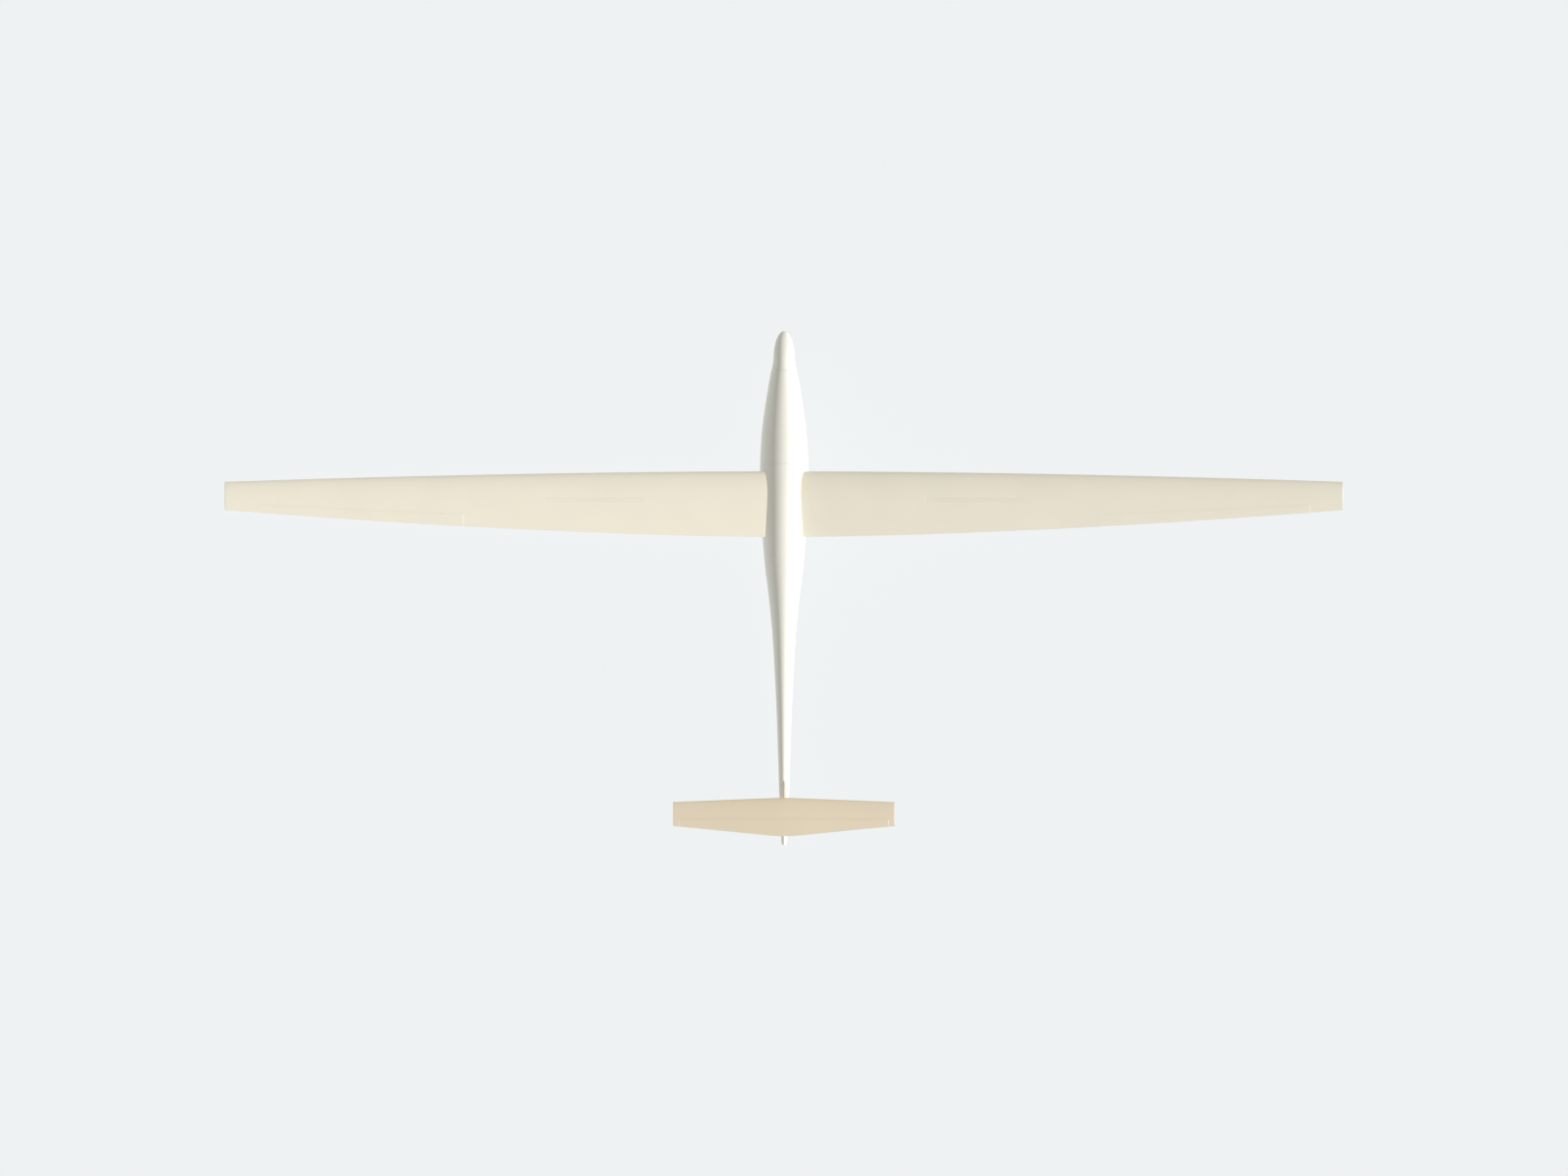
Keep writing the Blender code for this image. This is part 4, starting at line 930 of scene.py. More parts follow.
    def seam_strip(self) -> Skin:
        """Rubber seal that lines the tub's rim under the hood: a thin ribbon inside the opening.

        Returns:
            A strip ahead and one behind.
        """
        skin = Skin()
        shares = eased(0.004, 0.996, 81)
        sill, wall = self.edge.sill, -self.form.wall
        near, far, ahead = SEAT, SEAT + self.seal_depth, -self.seal_ahead
        corners = ((near, self.seal_behind), (far, self.seal_behind), (far, ahead), (near, ahead))
        for edge, sign in ((self.edge.fore, -1.0), (self.edge.aft, 1.0)):
            station = self.crossing(edge, shares, sill, wall)
            ribbon = np.stack([
                self.over(station - sign * along, shares, sill, wall - depth) for depth, along in corners
            ])
            skin.grid(ribbon, loop=True).cap(ribbon[:, 0]).cap(ribbon[:, -1])
        return skin

    def build(self, shop: Workshop, wells: Sequence[WellSize]) -> None:
        """Makes the hull's pieces.

        Args:
            shop: Where pieces are made.
            wells: The main and the tail wheel's wells.
        """
        paint = self.finishes.gelcoat
        shop.piece("nose_skin", self.nose(), paint, replaces=["nose_cone"])
        shop.piece("tub_skin", self.tub(), paint, replaces=["cockpit_tub"])
        shop.piece("hood_skin", self.hood(), paint, "canopy", replaces=["canopy_hood"])
        centre = self.barrel(self.tub_rear + SEAT, self.boom_joint, wells[0])
        shop.piece("centre_skin", centre, paint, replaces=["centre_fuselage"])
        boom = self.barrel(self.boom_joint + SEAT, self.form.length, wells[1], self.tail_round)
        shop.piece("boom_skin", boom, paint, replaces=["tail_boom"])
        shop.piece("canopy_seal", self.seam_strip(), self.finishes.skid)
        shop.repaint(paint, *(f"canopy_{part}_{end}" for part in ("bracket", "lug") for end in ("front", "rear")))


class LiftingForm:
    """Places sections of a wing-like surface.

    A section's half-thickness is five times its thickness times 0.2969 root(c) - 0.126 c - 0.3516 c^2
    + 0.2843 c^3 - 0.1015 c^4, where c is the share of the chord, and its mean line is two parabolas that meet
    at 40% of the chord. Heights are in chords above the chord line.
    """

    camber: float = 0.0
    slack: float = ROOM
    hinge_station: float = 0.0

    def lead(self, x: Array) -> Array:
        """Station of the leading edge."""
        raise NotImplementedError

    def chord(self, x: Array) -> Array:
        """Length of the section."""
        raise NotImplementedError

    def thickness(self, x: Array) -> Array:
        """Thickness as a share of the chord."""
        raise NotImplementedError

    def hinge(self, x: Array) -> Array:
        """Station of the hinge line, the same everywhere."""
        return self.hinge_station + 0.0 * np.asarray(x)

    def place(self, x: Array, share: Array, height: Array) -> Array:
        """Points at chord shares and heights, in chords, of the section at x."""
        raise NotImplementedError

    def half(self, x: Array, share: Array) -> Array:
        """Half-thickness in chords."""
        share = np.clip(share, 0, 1)
        curve = 0.2969 * np.sqrt(share) - 0.126 * share - 0.3516 * share**2 + 0.2843 * share**3 - 0.1015 * share**4
        return 5 * self.thickness(x) * curve

    def line(self, share: Array) -> Array:
        """Height of the mean line in chords."""
        fore = self.camber / 0.16 * (0.8 * share - share**2)
        aft = self.camber / 0.36 * (0.2 + 0.8 * share - share**2)
        return np.where(share < 0.4, fore, aft)

    def level(self, x: Array, share: Array, sign: float, full: float | Array = 1.0) -> Array:
        """Height, in chords, of the upper skin with sign 1, or of the lower one with sign -1."""
        return self.line(share) + sign * full * self.half(x, share)

    def skin(self, x: Array, share: Array, sign: float, full: float | Array = 1.0) -> Array:
        """Points of the upper skin, with sign 1, or of the lower one, with sign -1."""
        x, share = np.broadcast_arrays(np.asarray(x, float), np.asarray(share, float))
        return self.place(x, share, self.level(x, share, sign, full))

    def nose(self, x: Array) -> tuple[Array, Array, Array]:
        """Chord share of the hinge, its height, and the radius of the flap's round nose, in chords."""
        share = (self.hinge(x) - self.lead(x)) / self.chord(x)
        return share, self.line(share), self.half(x, share)

    def lip(self, x: Array, sign: float) -> Array:
        """Chord share at which the cove's circle meets the skin ahead of the hinge.

        The circle's radius is the nose's plus the slack. The share is the hinge's less the square root of the
        radius squared less the skin's height above the hinge squared, and is repeated until it settles.

        Args:
            x: Places along the span.
            sign: 1 for the upper skin, -1 for the lower one.

        Returns:
            The shares.
        """
        share, height, radius = self.nose(x)
        reach = radius + self.slack / self.chord(x)
        guess = share - 0.5 * reach
        for _ in range(30):
            guess = share - np.sqrt(np.clip(reach**2 - (self.level(x, guess, sign) - height) ** 2, 0, None))
        return guess

    def cove(self, x: Array, count: int) -> tuple[Array, Array]:
        """Shares and heights round the cove, from the upper lip to the lower one.

        Args:
            x: Places along the span.
            count: Points in a row.

        Returns:
            The shares and the heights.
        """
        share, height, radius = (value[:, None] for value in self.nose(x))
        reach = radius + self.slack / self.chord(x)[:, None]
        ends = []
        for sign in (1.0, -1.0):
            lip = self.lip(x, sign)[:, None]
            ends.append(np.arctan2(self.level(x[:, None], lip, sign) - height, lip - share) % TURN)
        turn = ends[0] + np.linspace(0, 1, count) * (ends[1] - ends[0])
        return share + reach * np.cos(turn), height + reach * np.sin(turn)

    def flap(self, x: Array, fullness: Array, steps: int = 14) -> Array:
        """Rings of the moving flap: upper skin from the trailing edge, the nose's half circle, lower skin back.

        Args:
            x: Places along the span.
            fullness: Thickness there as a share of the full one.
            steps: Points from the trailing edge to the hinge.

        Returns:
            The rings.
        """
        column, full = x[:, None], fullness[:, None]
        share, height, radius = (value[:, None] for value in self.nose(x))
        aft = share + (1 - share) * np.linspace(1, 0, steps)[:-1]
        turn = np.linspace(math.pi / 2, 1.5 * math.pi, 21)
        radius = radius * full
        top = self.skin(column, aft, 1.0, full)
        front = self.place(column + 0 * turn, share + radius * np.cos(turn), height + radius * np.sin(turn))
        return np.concatenate([top, front, self.skin(column, aft[:, ::-1], -1.0, full)], axis=1)

    def axis_point(self, x: float) -> Array:
        """Point of the hinge line at x."""
        share, height, _ = self.nose(np.array([x]))
        return self.place(np.array([x]), share, height)[0]

    def radius(self, x: float) -> float:
        """Radius of the flap's nose at x, in metres."""
        at = np.array([x])
        return float(self.nose(at)[2][0] * self.chord(at)[0])


@dataclass
class WingForm(LiftingForm):
    """The wing's sections: x is the distance from the centre plane."""

    side: Side = Side.RIGHT
    half_span: float = 7.5
    root_lead: float = 1.880
    root_trail: float = 2.762
    lead_sweep: float = 0.142
    trail_sweep: float = 0.363
    height: float = 0.197
    dihedral: float = math.radians(2.75)
    root_tilt: float = math.radians(3.0)
    tip_tilt: float = math.radians(1.0)
    root_thickness: float = 0.16
    tip_thickness: float = 0.13
    camber: float = 0.03
    aileron_start: float = 4.30
    aileron_end: float = 7.05
    aileron_share: float = 0.78

    def lead(self, x: Array) -> Array:
        """Leading edge: swept back by the 1.8th power of the span share."""
        return self.root_lead + self.lead_sweep * (np.asarray(x) / self.half_span) ** 1.8

    def chord(self, x: Array) -> Array:
        """Chord to a trailing edge swept forward by the 1.65th power of the span share."""
        return self.root_trail - self.trail_sweep * (np.asarray(x) / self.half_span) ** 1.65 - self.lead(x)

    def thickness(self, x: Array) -> Array:
        """Thickness, even from root to tip."""
        return self.root_thickness + (self.tip_thickness - self.root_thickness) * np.asarray(x) / self.half_span

    def hinge(self, x: Array) -> Array:
        """Hinge line: straight between its two ends."""
        ends = np.array([self.aileron_start, self.aileron_end])
        stations = self.lead(ends) + self.aileron_share * self.chord(ends)
        return stations[0] + (stations[1] - stations[0]) * (np.asarray(x) - ends[0]) / (ends[1] - ends[0])

    def place(self, x: Array, share: Array, height: Array) -> Array:
        """Turns the section about its quarter chord by the tilt at x, and lifts it by the dihedral.

        Args:
            x: Distances from the centre plane.
            share: Chord shares.
            height: Heights, in chords.

        Returns:
            The points.
        """
        lead, chord = self.lead(x), self.chord(x)
        tilt = self.root_tilt + (self.tip_tilt - self.root_tilt) * x / self.half_span
        back = share - 0.25
        stations = lead + chord * (0.25 + back * np.cos(tilt) + height * np.sin(tilt))
        levels = self.height + x * math.tan(self.dihedral) + chord * (height * np.cos(tilt) - back * np.sin(tilt))
        return xyz(self.side.value * x, -stations, levels)

    def share_at(self, x: Array, station: float | Array) -> Array:
        """Chord share at which the upper skin lies at a station, found by repeated correction."""
        share = (station - self.lead(x)) / self.chord(x)
        for _ in range(6):
            share = share + (station + self.skin(x, share, 1.0)[..., 1]) / self.chord(x)
        return share


@dataclass
class TailplaneForm(LiftingForm):
    """The tailplane's sections: x runs from tip to tip."""

    half_span: float = 1.485
    height: float = 1.22
    lead_at_root: float = 6.2575
    trail_at_root: float = 6.776
    lead_sweep: float = 0.058
    trail_sweep: float = 0.137
    apex: float = 0.16
    hinge_station: float = 6.555

    def lead(self, x: Array) -> Array:
        """Leading edge: swept back by the 1.05th power of the span share."""
        return self.lead_at_root + self.lead_sweep * np.abs(x / self.half_span) ** 1.05

    def chord(self, x: Array) -> Array:
        """Chord to a trailing edge swept forward by the 0.85th power of a share, with a round middle."""
        share = (np.hypot(x / self.half_span, self.apex) - self.apex) / (math.hypot(1, self.apex) - self.apex)
        return self.trail_at_root - self.trail_sweep * share**0.85 - self.lead(x)

    def thickness(self, x: Array) -> Array:
        """Thickness: 12% in the middle and 10% at the tips."""
        return 0.12 - 0.02 * np.abs(x) / self.half_span

    def place(self, x: Array, share: Array, height: Array) -> Array:
        """Level sections, with no tilt."""
        lead, chord = self.lead(x), self.chord(x)
        return xyz(x, -lead - chord * share, self.height + chord * height)


@dataclass
class FinForm(LiftingForm):
    """The fin's sections: x is the height above the hull's widest line."""

    height: float = 1.22
    lead_at_root: float = 6.005
    lead_sweep: float = 0.295
    trail_at_root: float = 6.765
    trail_sweep: float = -0.03
    section_thickness: float = 0.092
    hinge_station: float = 6.52

    def lead(self, x: Array) -> Array:
        """Leading edge, straight and swept back."""
        return self.lead_at_root + self.lead_sweep * np.asarray(x) / self.height

    def chord(self, x: Array) -> Array:
        """Chord to a straight trailing edge."""
        return self.trail_at_root + self.trail_sweep * np.asarray(x) / self.height - self.lead(x)

    def thickness(self, x: Array) -> Array:
        """Thickness, the same all the way up."""
        return self.section_thickness + 0.0 * np.asarray(x)

    def place(self, x: Array, share: Array, height: Array) -> Array:
        """Upright sections: section heights run towards the right."""
        lead, chord = self.lead(x), self.chord(x)
        return xyz(chord * height, -lead - chord * share, x)


@dataclass
class PanelNet:
    """Nets of a wing-like panel: rows run along the span, columns run round the section.

    settle gives points for rows, shares and heights, and fits the panel's ends to their neighbours.
    """

    form: LiftingForm
    settle: Callable[[Array, Array, Array], Array]
    seal_start: float = 0.012
    seal_rise: float = 0.004
    seal_sunk: float = 0.0002
    seal_proud: float = 0.0006
    seal_thick: float = 0.0005
    seal_clear: float = 0.0009
    seal_short: float = 14.0
    seal_past: float = 0.002

    def patch(self, rows: Array, share: Array, sign: float, full: float | Array = 1.0) -> Array:
        """Net of one side of the section at chord shares."""
        return self.settle(rows, share, self.form.level(rows[:, None], share, sign, full))

    def cove(self, rows: Array, count: int = 17) -> Array:
        """Net of the cove."""
        return self.settle(rows, *self.form.cove(rows, count))

    def trail(self, skin: Skin, rows: Array, ends: Sequence[float], over: Array, under: Array) -> None:
        """Adds the surface behind the lips: both skins outside the cove, and the cove with its end walls.

        Args:
            skin: Where the patches go.
            rows: Places along the span.
            ends: Where the cove starts and ends.
            over: Net of the upper skin, from the lip to the trailing edge.
            under: Net of the lower skin, likewise.
        """
        first, last = (int(np.argmin(np.abs(rows - place))) for place in ends)
        for piece in (slice(0, first + 1), slice(last, None)):
            skin.grid(over[piece]).grid(under[piece])
            skin.grid(np.stack([over[piece, -1], under[piece, -1]], 1))
        trough = self.cove(rows[first : last + 1])
        skin.grid(trough)
        for row, edge in ((first, trough[0]), (last, trough[-1])):
            skin.cap(np.vstack([over[row, ::-1], edge[1:-1], under[row]]))

    def seal(self, rows: Array, sign: float, limit: float) -> Skin:
        """Flexible strip that bridges the gap ahead of the flap on one side.

        It starts on the fixed skin, leaves it at the lip and ends near the nose's circle, at a turn where the
        flap's flat skin still clears it when the flap is at its limit.

        Args:
            rows: Places along the span.
            sign: 1 for the upper side, -1 for the lower one.
            limit: The flap's largest turn to that side, in degrees.

        Returns:
            The closed strip.
        """
        chord = self.form.chord(rows)
        share, height, radius = self.form.nose(rows)
        lip = self.form.lip(rows, sign)
        proud, thick = self.seal_proud / chord, self.seal_thick / chord
        turn = math.pi / 2 + math.radians(limit - self.seal_short)
        reach = radius + self.seal_clear / chord + thick
        tip_share, tip_height = share + reach * math.cos(turn), height + sign * reach * math.sin(turn)
        start = self.form.level(rows, lip, sign) + sign * proud
        outer = [
            (at, self.form.level(rows, at, sign) + sign * lift)
            for at, lift in (
                (lip - self.seal_start / chord, self.seal_sunk / chord), (lip - self.seal_rise / chord, proud)
            )
        ]
        outer += [(lip + t * (tip_share - lip), (1 - t) * start + t * tip_height) for t in (0.0, 0.35, 0.7, 1.0)]
        ring = outer + [(at, level - sign * thick) for at, level in reversed(outer)]
        return Skin().bar(self.settle(rows, *(np.stack(values, 1) for values in zip(*ring))))


@dataclass
class Flap:
    """A moving control surface on lugs: its skin, its lug plates and its pins."""

    name: str
    form: LiftingForm
    start: float
    end: float
    hinges: tuple[float, ...]
    lug_radius: float = 0.007
    lug_thickness: float = 0.005
    lug_root: float = 0.014
    pin_radius: float = 0.003
    pin_reach: float = 0.010
    slot_side: float = 0.002
    slot_depth: float = 0.0025
    soft_end: float = 0.004

    def shape(self, rows: int) -> Skin:
        """Closed skin of the flap, a little thinner in the last millimetres at both ends.

        Args:
            rows: Rows between the ends.

        Returns:
            The closed skin.
        """
        near = self.soft_end * np.array([0.0, 1 / 3, 1.0])
        inside = np.linspace(self.start + 1.5 * self.soft_end, self.end - 1.5 * self.soft_end, rows)
        x = np.concatenate([self.start + near, inside, self.end - near[::-1]])
        full = np.ones(len(x))
        full[[0, -1]], full[[1, -2]] = 0.86, 0.96
        return Skin().bar(self.form.flap(x, full))

    def axis(self) -> tuple[Array, Array]:
        """First point and direction of the hinge line."""
        first, last = self.form.axis_point(self.start), self.form.axis_point(self.end)
        return first, unit(last - first)

    def pivots(self) -> list[tuple[Array, float]]:
        """Hinge points, dropped onto the straight hinge line, and their places along the span."""
        first, along = self.axis()
        return [(first + along * ((self.form.axis_point(x) - first) @ along), x) for x in self.hinges]

    def slots(self) -> list[Skin]:
        """Round cutters that make room for the lugs in the flap's nose."""
        reach = self.axis()[1] * (self.lug_thickness / 2 + self.slot_side)
        return [rod(at - reach, at + reach, self.form.radius(x) + self.slot_depth, 40) for at, x in self.pivots()]

    def pins(self) -> Skin:
        """Hinge pins across the slots."""
        reach = self.axis()[1] * (self.lug_thickness / 2 + self.pin_reach)
        return joined(*(rod(at - reach, at + reach, self.pin_radius, 16, 0.0004) for at, _ in self.pivots()))

    def lugs(self) -> Skin:
        """Lug plates that reach from the fixed surface to the pins.

        Seen along the pin, a lug's edge is the farther of a circle round the pin and a bar that runs forward:
        its distance from the pin is the smaller of radius over sine and reach over cosine of the turn.

        Returns:
            The plates, bored for the pins.
        """
        along = self.axis()[1]
        turn = circle(48)
        bore = self.pin_radius + SEAT
        parts = []
        for centre, x in self.pivots():
            forward = self.form.place(np.array([x]), np.array([0.0]), np.array([0.0]))[0] - centre
            forward = unit(forward - along * (forward @ along))
            reach = self.form.radius(x) + ROOM + self.lug_root
            ahead = np.minimum(
                self.lug_radius / np.maximum(np.abs(np.sin(turn)), 1e-6), reach / np.maximum(np.cos(turn), 1e-6)
            )
            outer = np.where(np.cos(turn) > 0, ahead, self.lug_radius)
            way = np.cos(turn)[:, None] * forward + np.sin(turn)[:, None] * np.cross(along, forward)
            rings = [
                centre + way * np.reshape(size, (-1, 1)) + along * (side * self.lug_thickness / 2)
                for size, side in ((outer, -1), (outer, 1), (bore, 1), (bore, -1))
            ]
            parts.append(Skin().grid(np.stack(rings, 1), wrap=True, loop=True))
        return joined(*parts)

    def build(self, shop: Workshop, paint: Finish, finishes: Finishes, rows: int) -> None:
        """Makes the flap, its pins and the fixed lugs.

        Args:
            shop: Where pieces are made.
            paint: The flap's own finish.
            finishes: The other finishes.
            rows: Rows of points along the flap.
        """
        mesh = shop.carve(self.shape(rows), f"{self.name}_skin", self.slots())
        shop.piece(f"{self.name}_skin", mesh, paint, self.name, replaces=[self.name])
        shop.piece(f"{self.name}_pins", self.pins(), finishes.steel, self.name)
        shop.piece(f"{self.name}_lugs", self.lugs(), finishes.alloy)


@dataclass
class Wing:
    """One wing: panel, tip block, tip skid, aileron and airbrake."""

    side: Side
    hull: HullForm
    finishes: Finishes
    root: float = 0.262
    join: float = 0.60
    tip_joint: float = 7.2
    tip_round: float = 7.494
    brake_middle: float = 2.55
    brake_station: float = 2.26
    brake_length: float = 1.30
    brake_slot: float = 0.034
    brake_floor: float = -0.037
    brake_lift: float = 0.016
    cap_half_width: float = 0.0155
    cap_under: float = 0.045
    blade_half: float = 0.007
    blade_top: float = 0.043
    blade_foot: float = -0.025
    guide_place: float = 0.4
    guide_radius: float = 0.0035
    guide_clear: float = 0.03
    guide_bore: tuple[float, float] = (-0.06, 0.042)
    holes: int = 15
    hole_reach: float = 0.56
    hole_level: float = 0.020
    hole_radius: float = 0.012
    skid_span: float = 7.35
    skid_share: float = 0.42
    skid_half: float = 0.1095
    skid_arc: float = 0.155
    skid_drop: float = 0.045
    aileron_hinges: tuple[float, ...] = (4.6, 5.7, 6.8)
    aileron_limit: float = 20.0

    def __post_init__(self) -> None:
        """Works out the wing's form and the airbrake's place."""
        self.form = WingForm(side=self.side)
        lean, sign = self.form.dihedral, self.side.value
        self.up = np.array([-sign * math.sin(lean), 0.0, math.cos(lean)])
        self.out = np.array([sign * math.cos(lean), 0.0, math.sin(lean)])
        level = self.form.height + self.brake_middle * math.tan(lean) + self.brake_lift
        self.middle = np.array([sign * self.brake_middle, -self.brake_station, level])
        self.net = PanelNet(self.form, self.settle)

    def settle(self, rows: Array, share: Array, height: Array) -> Array:
        """Points of the panel. From the join inward each point is drawn towards the hull's skin.

        The pull grows evenly from none at the join to all of the way at the root, where X becomes the hull's
        half-width at that point plus the seat gap.

        Args:
            rows: Places along the span.
            share: Chord shares.
            height: Heights, in chords.

        Returns:
            The points.
        """
        fade = np.clip((self.join - rows) / (self.join - self.root), 0, 1)[:, None]
        x = rows[:, None] + 0 * share
        for _ in range(10):
            points = self.form.place(x, share, height)
            wall = self.hull.half_width(-points[..., 1], points[..., 2]) + SEAT
            x = rows[:, None] + fade * (wall - self.root)
        return self.form.place(x, share, height)

    def panel(self) -> Skin:
        """Wing panel with the airbrake's slot and the aileron's cove.

        The net has rows at both ends of the slot and of the cove, and columns along the slot's edges and the
        cove's lips, so that each opening is bounded by lines of the net.

        Returns:
            The closed skin.
        """
        form, patch = self.form, self.net.patch
        half = (self.brake_length / 2 + ROOM) * math.cos(form.dihedral)
        slot = (self.brake_middle - half, self.brake_middle + half)
        cove = (form.aileron_start - ROOM, form.aileron_end + ROOM)
        breaks = (self.root, self.join, *slot, *cove, self.tip_joint)
        spans = [np.linspace(*ends) for ends in zip(breaks, breaks[1:], (5, 14, 13, 12, 25, 3))]
        rows = np.concatenate([spans[0], *(span[1:] for span in spans[1:])])
        first, last = (int(np.argmin(np.abs(rows - place))) for place in slot)
        rear, front = (form.share_at(rows, self.brake_station + side * self.brake_slot / 2) for side in (1, -1))
        upper, lower = form.lip(rows, 1.0), form.lip(rows, -1.0)
        one = np.ones_like(rows)
        aft_top = patch(rows, columns(upper, one, 9), 1.0)
        top_rear = patch(rows, columns(upper, rear, 13), 1.0)
        band = patch(rows, columns(rear, front, 3), 1.0)
        top_front = patch(rows, front[:, None] * (1 - np.linspace(0, 1, 34)) ** 2, 1.0)
        bottom = patch(rows, lower[:, None] * (1 - np.linspace(0, 1, 44)) ** 2, -1.0)[:, ::-1]
        aft_bottom = patch(rows, columns(lower, one, 9), -1.0)
        skin = Skin().grid(top_rear).grid(top_front).grid(bottom).grid(band[: first + 1]).grid(band[last:])
        self.net.trail(skin, rows, cove, aft_top, aft_bottom)
        for row in (0, -1):
            others = (top_rear, band, top_front, bottom, aft_bottom)
            skin.cap(np.vstack([aft_top[row, ::-1], *(other[row, 1:] for other in others)]))
        well = band[first : last + 1]
        floor = well - ((well - self.middle) @ self.up - self.brake_floor)[..., None] * self.up
        return skin.grid(floor).rim(well, floor)

    def tip(self) -> Skin:
        """Tip block, cut square, with an edge that is rounded over its last millimetres.

        Returns:
            The closed block.
        """
        end = self.form.half_span
        arc = np.sin(np.linspace(0, math.pi / 2, 9)[1:])
        flat = np.linspace(self.tip_joint + SEAT, self.tip_round, 9)
        rows = np.concatenate([flat, self.tip_round + (end - self.tip_round) * arc])
        full = rounded(rows, self.tip_round, end)[:, None]
        t = np.linspace(0, 1, 49)
        share = np.concatenate([(1 - t) ** 2, t[1:] ** 2])[None, :] + 0 * rows[:, None]
        sign = np.concatenate([np.ones(49), -np.ones(48)])
        net = self.form.skin(rows[:, None], share, sign, full)
        return Skin().grid(net, wrap=True).cap(net[0])

    def skid(self) -> Skin:
        """Tip skid: a runner whose lower edge is an arc, with round edges, up to the tip's lower skin.

        Returns:
            The closed runner.
        """
        lead, chord = float(self.form.lead(self.skid_span)), float(self.form.chord(self.skid_span))
        base = self.form.place(np.array([self.skid_span]), np.array([self.skid_share]), np.array([0.0]))[0, 2]
        along = self.skid_half * np.sin(np.linspace(-math.pi / 2, math.pi / 2, 33))
        stations = lead + self.skid_share * chord + along
        bottom = base + self.skid_drop - np.sqrt(self.skid_arc**2 - along**2)
        across = np.array([-8, -8, -7.2, -5, 0, 5, 7.2, 8, 8]) * 0.001
        lift = np.array([0, 3.0, 0.9, 0, 0, 0, 0.9, 3.0, 0]) * 0.001
        x = self.skid_span + across[None, :] + 0 * along[:, None]
        roof = self.form.skin(x, ((stations - lead) / chord)[:, None], -1.0)[..., 2] - SEAT
        z = bottom[:, None] + lift[None, :]
        z[:, 0], z[:, -1] = roof[:, 0], roof[:, -1]
        return Skin().bar(xyz(self.side.value * x, -stations[:, None], z))

    def local(self, along: Array, back: Array, up: Array) -> Array:
        """Points in the airbrake's own frame: along the span, aft, and up from its middle."""
        along, back, up = (value[..., None] for value in np.broadcast_arrays(along, back, up))
        return self.middle + along * self.out + back * np.array([0.0, -1.0, 0.0]) + up * self.up

    def brake(self) -> tuple[Skin, list[Skin]]:
        """Airbrake blade and the cuts in it.

        The cap's top lies on the wing's upper skin between two stations; below it the blade is a thin plate.

        Returns:
            The blade, and the bores for the guides with the round holes between them.
        """
        cap, blade, half = self.cap_half_width, self.blade_half, self.brake_length / 2
        along = np.linspace(-half, half, 27)[:, None]
        back = np.linspace(-cap, cap, 7)[None, :]
        x = self.brake_middle + along * math.cos(self.form.dihedral) + 0 * back
        top = self.form.skin(x, self.form.share_at(x, self.brake_station + back), 1.0)
        right = ((cap, self.cap_under), (blade, self.blade_top), (blade, self.blade_foot))
        under = np.array([*right, *((-aft, level) for aft, level in right[::-1])])
        height = np.hstack([(top - self.middle) @ self.up, np.tile(under[:, 1], (27, 1))])
        net = self.local(along, np.append(back, under[:, 0])[None, :], height)
        ends = np.array([-1.0, 1.0])
        bore = np.array(self.guide_bore)
        cuts = [rod(*self.local(place, 0.0, bore), self.guide_radius) for place in self.guide_place * ends]
        for place in np.linspace(-self.hole_reach, self.hole_reach, self.holes):
            if abs(abs(place) - self.guide_place) > self.guide_clear:
                cuts.append(rod(*self.local(place, 0.02 * ends, self.hole_level), self.hole_radius, 28))
        return Skin().bar(net), cuts

    def build(self, shop: Workshop) -> None:
        """Makes the wing's pieces.

        Args:
            shop: Where pieces are made.
        """
        word, finishes, form = self.side.word, self.finishes, self.form
        shop.piece(f"wing_skin_{word}", self.panel(), finishes.wing, replaces=[f"wing_{word}"])
        shop.piece(f"tip_skin_{word}", self.tip(), finishes.wing, replaces=[f"wing_tip_{word}"])
        shop.piece(f"tip_runner_{word}", self.skid(), finishes.skid, replaces=[f"tip_skid_{word}"])
        flap = Flap(f"aileron_{word}", form, form.aileron_start, form.aileron_end, self.aileron_hinges)
        flap.build(shop, finishes.wing, finishes, 40)
        rows = np.linspace(form.aileron_start - self.net.seal_past, form.aileron_end + self.net.seal_past, 40)
        for sign, place in ((1.0, "upper"), (-1.0, "lower")):
            seal = self.net.seal(rows, sign, self.aileron_limit)
            shop.piece(f"aileron_seal_{place}_{word}", seal, finishes.seal)
        blade, cuts = self.brake()
        mesh = shop.carve(blade, f"airbrake_blade_{word}", cuts)
        shop.piece(f"airbrake_blade_{word}", mesh, finishes.wing, f"airbrake_{word}", replaces=[f"airbrake_{word}"])
        shop.repaint(finishes.alloy, f"airbrake_guides_{word}")


